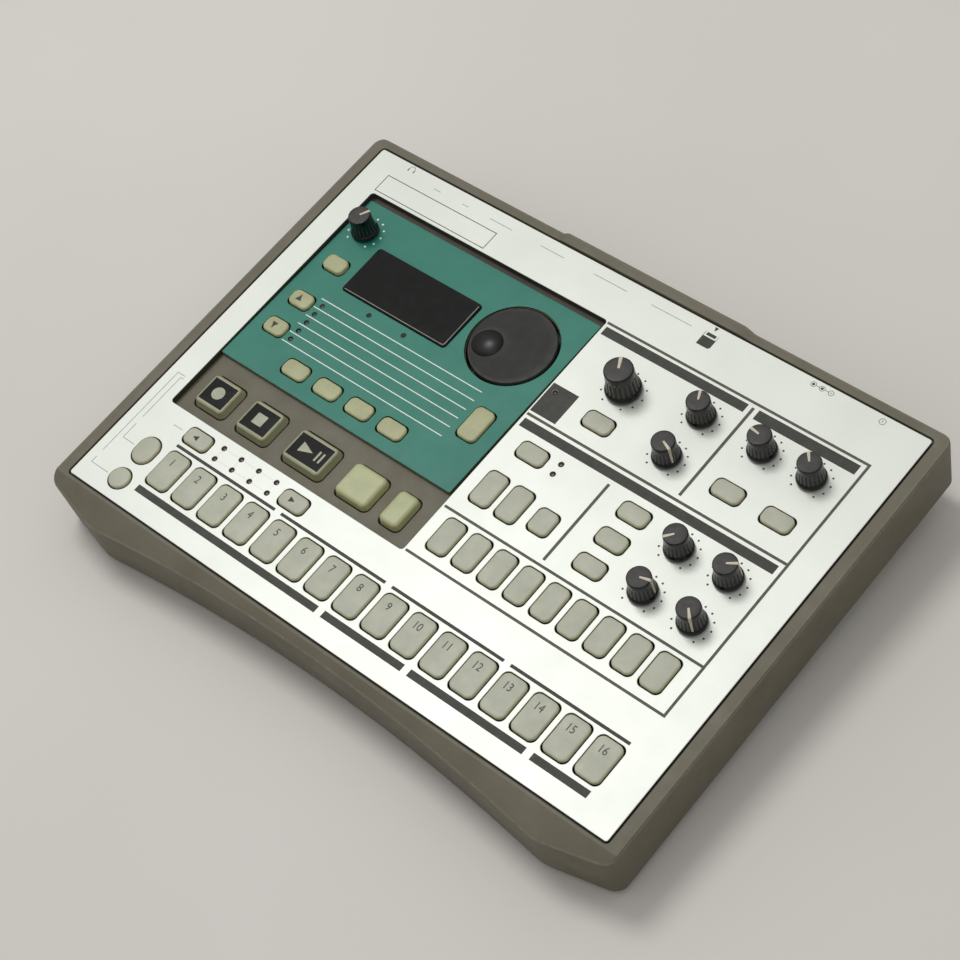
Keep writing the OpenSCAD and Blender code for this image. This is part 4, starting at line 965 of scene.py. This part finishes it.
# ---------------------------------------------------------------- dial and knobs
def make_dial():
    """A flat disc with a finger bowl: rings run from the bowl's middle to its mouth, then widen to the
    rim, and go down the wall to the shaft."""
    dial = Moulding("dial_disc")
    top, thick, edge, shaft_r, n = -1.8, 4.0, 0.45, 3.0, 144
    bowl_off, bowl_turn, bowl_r, bowl_deep, mouth_r = 10.8, math.radians(205.8), 6.85, 2.85, 7.05
    a = np.linspace(0, 2 * math.pi, n, endpoint=False)
    ray = np.column_stack([np.cos(a), np.sin(a)])
    mid = np.array(DIAL_AT)
    bowl = mid + bowl_off * np.array([math.cos(bowl_turn), math.sin(bowl_turn)])
    # the bowl's mouth and the disc's rounded edge carry rubbing and a painted highlight
    rings, rub_and_highlight = [], []
    bowl_shares = (0.04, 0.12, 0.2, 0.3, 0.4, 0.5, 0.6, 0.7, 0.8, 0.88, 0.95, 1.0)
    for q in bowl_shares:
        rings.append(with_height(bowl + bowl_r * q * ray, top - bowl_deep * (1 - q ** 2.3) - 0.1))
        rub_and_highlight.append(0.0)
    for t in (0.3, 0.65, 1.0):
        rings.append(with_height(bowl + (bowl_r + (mouth_r - bowl_r) * t) * ray, top - 0.1 * (1 - t) ** 2))
        rub_and_highlight.append(0.8 if t < 1 else 0.2)
    inner, outer = bowl + mouth_r * ray, mid + (DIAL_R - edge) * ray
    for t in (0.15, 0.3, 0.5, 0.7, 0.85, 1.0):
        rings.append(with_height(inner + (outer - inner) * t, top))
        rub_and_highlight.append(0.0 if t < 1 else 0.3)
    for b in np.radians((22, 45, 68, 90)):
        rings.append(with_height(mid + (DIAL_R - edge + edge * math.sin(b)) * ray,
                                 top - edge * (1 - math.cos(b))))
        rub_and_highlight.append(0.8)
    for r, z in ((DIAL_R, top - thick), (shaft_r, top - thick - 0.01), (shaft_r, top - thick - 3.0)):
        rings.append(with_height(mid + r * ray, z))
        rub_and_highlight.append(0.0)
    loft(dial, rings, DIAL, rub_and_highlight)
    # the bowl is painted darker than the disc, as its shade
    dial.refinish([*range((len(bowl_shares) - 1) * n), (len(rings) - 1) * n], BOWL_PAINTED_SHADE)
    dial.make("data_dial", "data_dial", slot="dial")


def pointer_strip(piece, cx, cy, profile, turn, base, widths):
    """The pointer's raised strip along a profile of (radius, height) pairs, its width changing on the way:
    cross-sections of four corners stand square to the profile."""
    p = np.asarray(profile, float)
    along = np.gradient(p, axis=0)
    along /= np.linalg.norm(along, axis=1)[:, None]
    normal = np.column_stack([-along[:, 1], along[:, 0]])
    a = math.radians(turn)
    out, side = np.array([math.sin(a), math.cos(a)]), np.array([math.cos(a), -math.sin(a)])
    corners = []
    for lift, s in ((-0.15, -1), (-0.15, 1), (0.055, 1), (0.055, -1)):
        r, z = (p + normal * lift).T
        corners.append(with_height((cx, cy) + out * r[:, None] + side * (s * widths / 2)[:, None], base + z))
    loft(piece, np.stack(corners, 1), POINTER, smooth=False)


KNOB_PROFILE = np.array([
    (3.2, 0.0), (5.7, 0.0), (6.0, 0.12), (6.16, 0.4), (6.2, 0.8), (6.18, 1.2), (6.08, 1.6), (5.9, 1.92),
    (5.7, 2.14), (5.56, 2.3), (5.5, 2.5), (5.46, 2.9), (5.4, 3.5), (5.34, 4.0), (5.24, 5.0), (5.15, 6.0),
    (5.08, 7.0), (5.04, 7.6), (5.02, 8.0), (5.0, 8.4), (4.98, 9.2), (4.95, 10.2), (4.92, 10.75),
    (4.84, 11.03), (4.7, 11.17), (4.5, 11.2)])
KNOB_TOP_PROFILE = np.array([(4.52, 11.0), (4.52, 11.24), (4.4, 11.28), (2.4, 11.27), (0.4, 11.26)])
POINTER_PROFILE = np.array([(0.3, 11.26), (2.0, 11.26), (4.4, 11.26), (4.75, 11.14), (4.9, 10.95),
                            (4.96, 10.2), (5.0, 8.6), (5.08, 7.2), (5.24, 5.0), (5.38, 3.6), (5.48, 2.6)])
POINTER_WIDTHS = np.array([0.75, 0.95, 1.2, 1.25, 1.25, 1.2, 1.1, 1.0, 0.9, 0.8, 0.7])


def knob(name, cx, cy, turn, base, k=1.0):
    """A knob, k times the small one: rounded flange, waist, fluted body, a mat top, a pointer and a shaft."""
    part = Moulding("knob_body_" + name)
    # the ridges between the flutes get a painted highlight in the edge colour
    flutes = (20, 0.38 * k, base + 2.4 * k, base + 8.2 * k)
    turned(part, cx, cy, KNOB_PROFILE * k + (0, base), KNOB, 200, flutes)
    turned(part, cx, cy, KNOB_TOP_PROFILE * k + (0, base), KNOB_TOP, 64)
    turned(part, cx, cy, [(3.0, base - 6), (3.0, base + 0.4)], NICKEL, 32)
    pointer_strip(part, cx, cy, POINTER_PROFILE * k, turn, base, POINTER_WIDTHS * k)
    part.make("knob_" + name, "knob_" + name, slot="knob")


make_dial()
for name, (cx, cy, turn) in KNOBS.items():
    knob(name, cx, cy, turn, 0.5, 1.25 if name == "type" else 1.0)
knob("volume", *VOLUME, float(green_z(*VOLUME[:2])) + 0.5)


# ---------------------------------------------------------------- prints
def scale_ring(cx, cy, r, count, gap):
    """Dots on a circle, spread evenly by gap degrees about the back."""
    a = np.radians(90 + gap * (np.arange(count) - (count - 1) / 2))
    return np.column_stack([cx + r * np.cos(a), cy + r * np.sin(a)])


def back_signs(ink):
    """Headphones, a card with an arrow, the inlet's polarity rings and the power ring, over their sockets."""
    line(ink, circle(19.3, 198.0, 1.5, 36)[:19], 0.24, 0, INK_GREY)
    for side in (-1.5, 1.5):
        bar(ink, 19.3 + side - 0.3, 196.5, 19.3 + side + 0.3, 198.0, 0, INK_GREY)
    inlay(ink, arrow(184.9, 198.9, 1.25, 270), 0, INK)
    inlay(ink, [(181.8, 189.3), (187.5, 189.3), (188.3, 190.1), (188.3, 194.0), (181.8, 194.0)], 0, INK)
    bar(ink, 182.8, 194.7, 187.3, 196.2, 0, INK)
    for x in (181.9, 188.2):
        line(ink, [(x, 194.0), (x, 196.3)], 0.18, 0, INK)
    for x in (233.3, 237.4, 241.6):
        line(ink, circle(x, 197.8, 1.15, 28), 0.2, 0, INK, closed=True)
    dots(ink, [(233.3, 197.8), (237.4, 197.8)], 0.62, 0, INK, 20)
    for x0, x1 in ((234.5, 236.2), (238.6, 240.4), (241.0, 242.2)):
        line(ink, [(x0, 197.8), (x1, 197.8)], 0.2, 0, INK)
    line(ink, circle(265.8, 197.5, 1.35, 28), 0.2, 0, INK, closed=True)
    line(ink, [(265.8, 197.0), (265.8, 198.1)], 0.22, 0, INK)


GREY_LINES = [
    [(8.9, 61.8), (4.6, 61.8), (4.6, 15.7)], [(4.6, 11.9), (4.6, 8.8), (14.7, 8.8)],
    [(9.2, 60.4), (7.5, 60.4), (7.5, 37.0)], [(7.5, 33.0), (7.5, 25.0), (14.2, 25.0)],
    [(22.0, 41.5), (27.2, 41.5)], [(35.0, 194.8), (38.8, 194.8)], [(51.6, 194.8), (55.0, 194.8)],
    [(67.3, 194.9), (79.5, 194.9)], [(95.5, 194.9), (108.4, 194.9)], [(124.6, 195.0), (141.9, 195.0)],
    [(154.8, 195.0), (175.3, 195.0)]]


def face_print():
    """The prints on the faceplate: bars, frames, thin lines, dotted lines, signs and the knobs' scales."""
    ink = Moulding("faceplate_print")
    for x0, y0, x1, y1 in ((146.0, 172.4, 217.7, 176.6), (222.9, 171.9, 270.6, 176.6),
                           (146.0, 119.7, 270.7, 124.0)):
        bar(ink, x0, y0, x1, y1, 0, INK)
    for width, path in ((1.2, [(145.0, 178.4), (273.2, 178.4), (273.2, 50.6), (145.4, 50.6)]),
                        (1.35, [(220.3, 128.4), (220.3, 176.2)]), (1.25, [(145.2, 126.1), (272.6, 126.1)]),
                        (1.35, [(194.2, 76.9), (194.2, 117.6)]), (1.2, [(145.4, 74.4), (272.6, 74.4)])):
        line(ink, path, width, 0, FRAME_INK)
    for x0, x1 in ((30.6, 87.9), (91.35, 148.6), (152.1, 209.5), (212.8, 270.0)):
        bar(ink, x0, 34.1, x1, 35.5, 0, INK)
    for x0, x1 in ((30.6, 133.5), (136.9, 179.0), (182.3, 239.6), (243.1, 270.0)):
        bar(ink, x0, 8.85, x1, 12.15, 0, INK)
    line(ink, [(12.2, 180.9), (75.0, 180.9), (75.0, 190.1), (12.2, 190.1)], 0.35, 0, INK, closed=True)
    for path in GREY_LINES:
        line(ink, path, 0.24, 0, INK_GREY)
    for y in LAMPS_Y:
        for x in LAMPS_X[:3]:
            dots(ink, [(x + 2.1 + 0.84 * i, y) for i in range(8)], 0.13, 0, INK_GREY, 6)
    for x in LAMPS_X:
        dots(ink, [(x, 40.8 + 0.8 * i) for i in range(3)], 0.13, 0, INK_GREY, 6)
    back_signs(ink)
    cut_sheet(ink, box_loop(145.1, 127.85, 158.2, 143.5), [round_hole(148.5, 139.9, 1.3)], INK_UP, -INK_SINK,
              0.01, INK, steps=1)
    for name, (cx, cy, _) in KNOBS.items():
        r, gap = (9.3, 30) if name == "type" else (8.1, 28)
        dots(ink, scale_ring(cx, cy, r, 11, gap), 0.46, 0, INK)
    ink.make("housing", slot="faceplate")


def green_print():
    ink = Moulding("display_panel_print")
    for y in (124.6, 119.6, 114.5, 109.5, 104.4, 99.2):
        line(ink, [(30.8, y), (121.8, y)], 0.42, green_z, INK_WHITE)
    dots(ink, scale_ring(*VOLUME[:2], 8.1, 11, 28), 0.48, green_z, INK_WHITE, 14)
    ink.make("housing", slot="display_panel")


def make_lamps():
    """Small domed lamps a little below the surface, each in a sleeve painted dark as the shade of its hole:
    black by the display, red elsewhere."""
    lamps = Moulding("lamps")
    for x, y in FACE_LAMPS + GREEN_LAMPS:
        top = -0.25 if (x, y) in FACE_LAMPS else float(green_z(x, y)) - 0.25
        bead = [(1.05, top - 3.2), (1.1, top - 3.0), (1.1, top - 0.4), (1.02, top - 0.2), (0.8, top - 0.06),
                (0.4, top - 0.01), (0.08, top)]
        turned(lamps, x, y, bead, LAMP if y < 100 or x > 150 else SOCKET, 24)
        sleeve = [(1.12, -3.0), (1.19, -3.0), (1.19, top - 0.05), (1.12, top - 0.05), (1.11, -2.0)]
        turned(lamps, x, y, sleeve, BORE_PAINTED_SHADE, 24)
    lamps.make("housing", "panel_lamps", slot="lamp")


face_print()
green_print()
make_lamps()


# ---------------------------------------------------------------- back
def at_back(p):
    """A shape drawn with its axis along Z to one whose axis runs out of the back: (x, y, z) to (x, z, y)."""
    return np.asarray(p, float)[..., [0, 2, 1]]


def back_turned(piece, x, profile, finish_, n=48, flutes=None, ring=False):
    """A turned shape about the sockets' line: profile is (radius, depth behind the back wall's plane)."""
    if flutes:
        count, depth, low, high = flutes
        flutes = (count, depth, BACK_Y + low, BACK_Y + high)
    rings, _ = turned_rings(x, SOCKET_Z, [(r, BACK_Y + y) for r, y in profile], n, flutes)
    loft(piece, at_back(rings), finish_, ring=ring)


def back_block(piece, k, steps, finish_, n=3, smooth=False):
    """A rounded rectangle k in (X, Z) carried out of the back: steps are (depth, growth) pairs."""
    rings = [with_height(rounded(*k, grow=g, n=n), BACK_Y + y) for y, g in steps]
    loft(piece, at_back(rings), finish_, smooth=smooth)


def make_jacks():
    """Ring, nickel seat and the long bore that a plug goes into."""
    jacks = Moulding("jack_sockets")
    for x in JACKS_X:
        back_turned(jacks, x, [(5.3, -2.6), (5.3, 0.3), (5.1, 0.62), (4.7, 0.78), (4.3, 0.8), (4.1, 0.72),
                               (4.0, 0.45), (3.25, 0.45), (3.25, -23), (0.5, -23.2), (0.5, -24), (5.0, -24),
                               (5.0, -2.6)], SOCKET, ring=True)
        back_turned(jacks, x, [(3.2, 0.2), (3.2, 0.5), (3.3, 0.56), (3.9, 0.56), (4.0, 0.5), (4.0, 0.2)],
                    NICKEL, ring=True)
    jacks.make("housing", "audio_jacks", slot="black_plastic")


def make_round_sockets():
    """Five-pin sockets: a collar, a metal shield and a core face with five holes."""
    sockets = Moulding("round_sockets")
    for x in ROUND_SOCKETS_X:
        back_turned(sockets, x, [(7.6, -9), (7.6, -0.3), (7.45, 0.0), (7.2, 0.0), (7.1, -0.1), (7.0, -0.3),
                                 (6.9, -8), (6.0, -8), (6.0, -9)], SOCKET, ring=True)
        back_turned(sockets, x, [(6.9, -7), (6.9, -0.5), (6.75, -0.4), (6.5, -0.5), (6.5, -7)], NICKEL,
                    ring=True)
        holes = [round_hole(x + 4.0 * math.cos(a), SOCKET_Z + 4.0 * math.sin(a) - 1.0, 0.75, 14)
                 for a in np.radians([0, 45, 90, 135, 180])]
        cut_sheet(sockets, round_hole(x, SOCKET_Z, 5.9, 48), holes, BACK_Y - 0.9, BACK_Y - 8.2, 0.2, SOCKET,
                  place=at_back)
        # painted shade: a dark disc behind the core face's holes
        back_turned(sockets, x, [(0.5, -8.6), (6.4, -8.6), (6.4, -8.2), (0.5, -8.2)], BORE_PAINTED_SHADE)
    sockets.make("housing", "midi_sockets", slot="black_plastic")


def make_inlet():
    inlet = Moulding("power_inlet")
    cut_sheet(inlet, outline_of((INLET_X, SOCKET_Z, 9.0, 10.0, 0.8)),
              [round_hole(INLET_X, SOCKET_Z, 2.8, 40)], BACK_Y - 0.02, BACK_Y - 10, 0.3, SOCKET,
              place=at_back)
    # painted shade: a dark disc deep in the inlet's bore
    back_turned(inlet, INLET_X, [(0.4, -11), (2.9, -11), (2.9, -10), (0.4, -10)], BORE_PAINTED_SHADE)
    back_turned(inlet, INLET_X, [(0.9, -10.4), (0.9, -1.6), (0.7, -1.25), (0.3, -1.1)], NICKEL, 24)
    inlet.make("housing", "dc_inlet", slot="black_plastic")


def make_card_slot():
    card = Moulding("card_slot")
    cut_sheet(card, outline_of((CARD_X, SOCKET_Z, 37.6, 2.4, 0.4), n=3),
              [outline_of((CARD_X, SOCKET_Z, 36.6, 1.4, 0.2), n=3)], BACK_Y - 0.5, BACK_Y - 9, 0.15, SOCKET,
              place=at_back)
    # painted shade: a dark floor deep in the slot
    back_block(card, (CARD_X, SOCKET_Z, 37.4, 2.2, 0.2), ((-9.4, 0), (-8.8, 0)), BORE_PAINTED_SHADE)
    card.make("housing", "card_socket", slot="metal")


def make_level_knob():
    level = Moulding("level_knob_body")
    back_turned(level, LEVEL_X, [(1.5, -7), (1.5, -2.4), (3.2, -2.4), (3.3, -2.2), (3.3, 2.6), (3.2, 2.95),
                                 (3.0, 3.15), (2.6, 3.2), (0.4, 3.2)], KNOB, 120, (18, 0.22, -1.5, 2.7))
    back_block(level, (LEVEL_X, SOCKET_Z + 1.7, 0.7, 2.4, 0.2), ((3.0, 0), (3.2, 0)), POINTER)
    level.make("input_level_knob", "input_level_knob", slot="knob")


def make_slide_switch():
    """The nub with three grooves painted dark as their shade, and the frame of the well that it slides in."""
    nub = Moulding("switch_nub")
    x = SWITCH_X - 1.5
    back_block(nub, (x, SOCKET_Z, 3.6, 3.2, 0.4),
               ((-3.0, 0), (0.6, 0), (0.95, -0.1), (1.15, -0.3), (1.2, -0.6)), SOCKET, 4, smooth=True)
    for off in (-0.7, 0.0, 0.7):
        back_block(nub, (x + off, SOCKET_Z, 0.22, 2.0, 0.05), ((1.1, 0), (1.19, 0)), BORE_PAINTED_SHADE, 2)
    nub.make("input_switch", "input_switch", slot="black_plastic")
    well = Moulding("switch_well")
    cut_sheet(well, outline_of((SWITCH_X, SOCKET_Z, 7.15, 4.15, 0.4), n=3),
              [outline_of((SWITCH_X, SOCKET_Z, 6.75, 3.6, 0.2), n=3)], BACK_Y - 0.3, BACK_Y - 2.0, 0.03,
              SOCKET, place=at_back)
    well.make("housing", slot="black_plastic")


def make_power_button():
    """A hidden flange, straight sides, a rounded edge and a face that dishes in a little."""
    button = Moulding("power_push")
    back_block(button, (POWER_X, SOCKET_Z, 9.0, 9.0, 1.2),
               ((-3.9, 0.6), (-2.7, 0.6), (-2.7, 0), (2.2, 0), (2.75, -0.12), (3.05, -0.4), (3.2, -0.9),
                (3.08, -1.8), (3.0, -3.2)), SOCKET, 6, smooth=True)
    button.make("power_button", "power_button", slot="black_plastic")


make_jacks()
make_round_sockets()
make_inlet()
make_card_slot()
make_level_knob()
make_slide_switch()
make_power_button()


# ---------------------------------------------------------------- underside
def make_feet():
    """Turned about upright lines of the world, so that they stand flat on the floor."""
    feet = Moulding("rubber_feet")
    profile = [(6.2, 0), (6.7, 0.25), (7.0, 0.8), (7.0, 3.0), (6.9, 3.4)]
    for x in (-126.0, 126.0):
        for y in (-70.05, 84.68):
            loft(feet, to_panel(turned_rings(x, y, profile, 48)[0]), RUBBER)
    feet.make("housing", "feet", slot="rubber")


def make_screws():
    """Round heads with a cross, each on a shank that goes up into its post."""
    screws = Moulding("case_screws")
    head = -29.4
    profile = [(1.4, head + 4), (1.4, head), (2.8, head), (2.8, head - 1.3), (2.5, head - 1.8),
               (1.8, head - 2.0), (0.3, head - 2.05)]
    for x in (2.2, 284.5):
        for y in (66.0, 170.4):
            turned(screws, x, y, profile, SCREW, 32)
            # the cross is painted shade: two thin dark slabs just proud of the head stand in for its recess
            for w, l in ((3.2, 0.7), (0.7, 3.2)):
                cross = rounded(x, y, w, l, 0.1, n=2)
                loft(screws, [with_height(cross, head - 1.6), with_height(cross, head - 2.08)], BORE_PAINTED_SHADE,
                     smooth=False)
    screws.make("housing", "screws", slot="metal")


make_feet()
make_screws()

# ---------------------------------------------------------------- nodes kept as they are
for name, material in (("display_module", MODULE), ("panel_board", BOARD), ("main_board", BOARD),
                       ("control_bodies", DULL_METAL), ("key_switches", SOCKET), ("board_cable", CABLE)):
    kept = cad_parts[name]
    for s in kept.material_slots:
        s.material = material


# ---------------------------------------------------------------- floor and light
def make_floor():
    mesh = bpy.data.meshes.new("floor")
    half = 3.0
    mesh.from_pydata(with_height(box_loop(-half, -half, half, half)(0), 0).tolist(), [], [(0, 1, 2, 3)])
    mesh.materials.append(finish("floor_pale", (214, 210, 203), (220, 216, 210), 3, (0.75, 0.85)))
    floor = in_scene("floor", mesh)


def soft_light(name, place, aim, size, watts):
    data = bpy.data.lights.new(name, "AREA")
    data.shape, data.size, data.energy = "DISK", size, watts
    lamp = in_scene(name, data)
    lamp.location = place
    lamp.rotation_euler = (Vector(aim) - Vector(place)).to_track_quat("-Z", "Y").to_euler()


make_floor()
soft_light("key_light", (-0.70, 0.18, 1.72), (0, 0, 0), 0.7, 12.1)
world = bpy.data.worlds.new("studio")
world.use_nodes = True
sky = world.node_tree
direction = sky.nodes.new("ShaderNodeTexCoord")
parts = sky.nodes.new("ShaderNodeSeparateXYZ")
sky.links.new(direction.outputs["Generated"], parts.inputs["Vector"])
sky.links.new(ramp(sky, parts.outputs["Z"], ((0.0, (0.05, 0.05, 0.05, 1)), (0.35, (0.36, 0.36, 0.36, 1)),
                                             (1.0, (0.7, 0.7, 0.7, 1)))),
              sky.nodes["Background"].inputs["Color"])
bpy.context.scene.world = world
bpy.context.scene.view_settings.view_transform = "Standard"
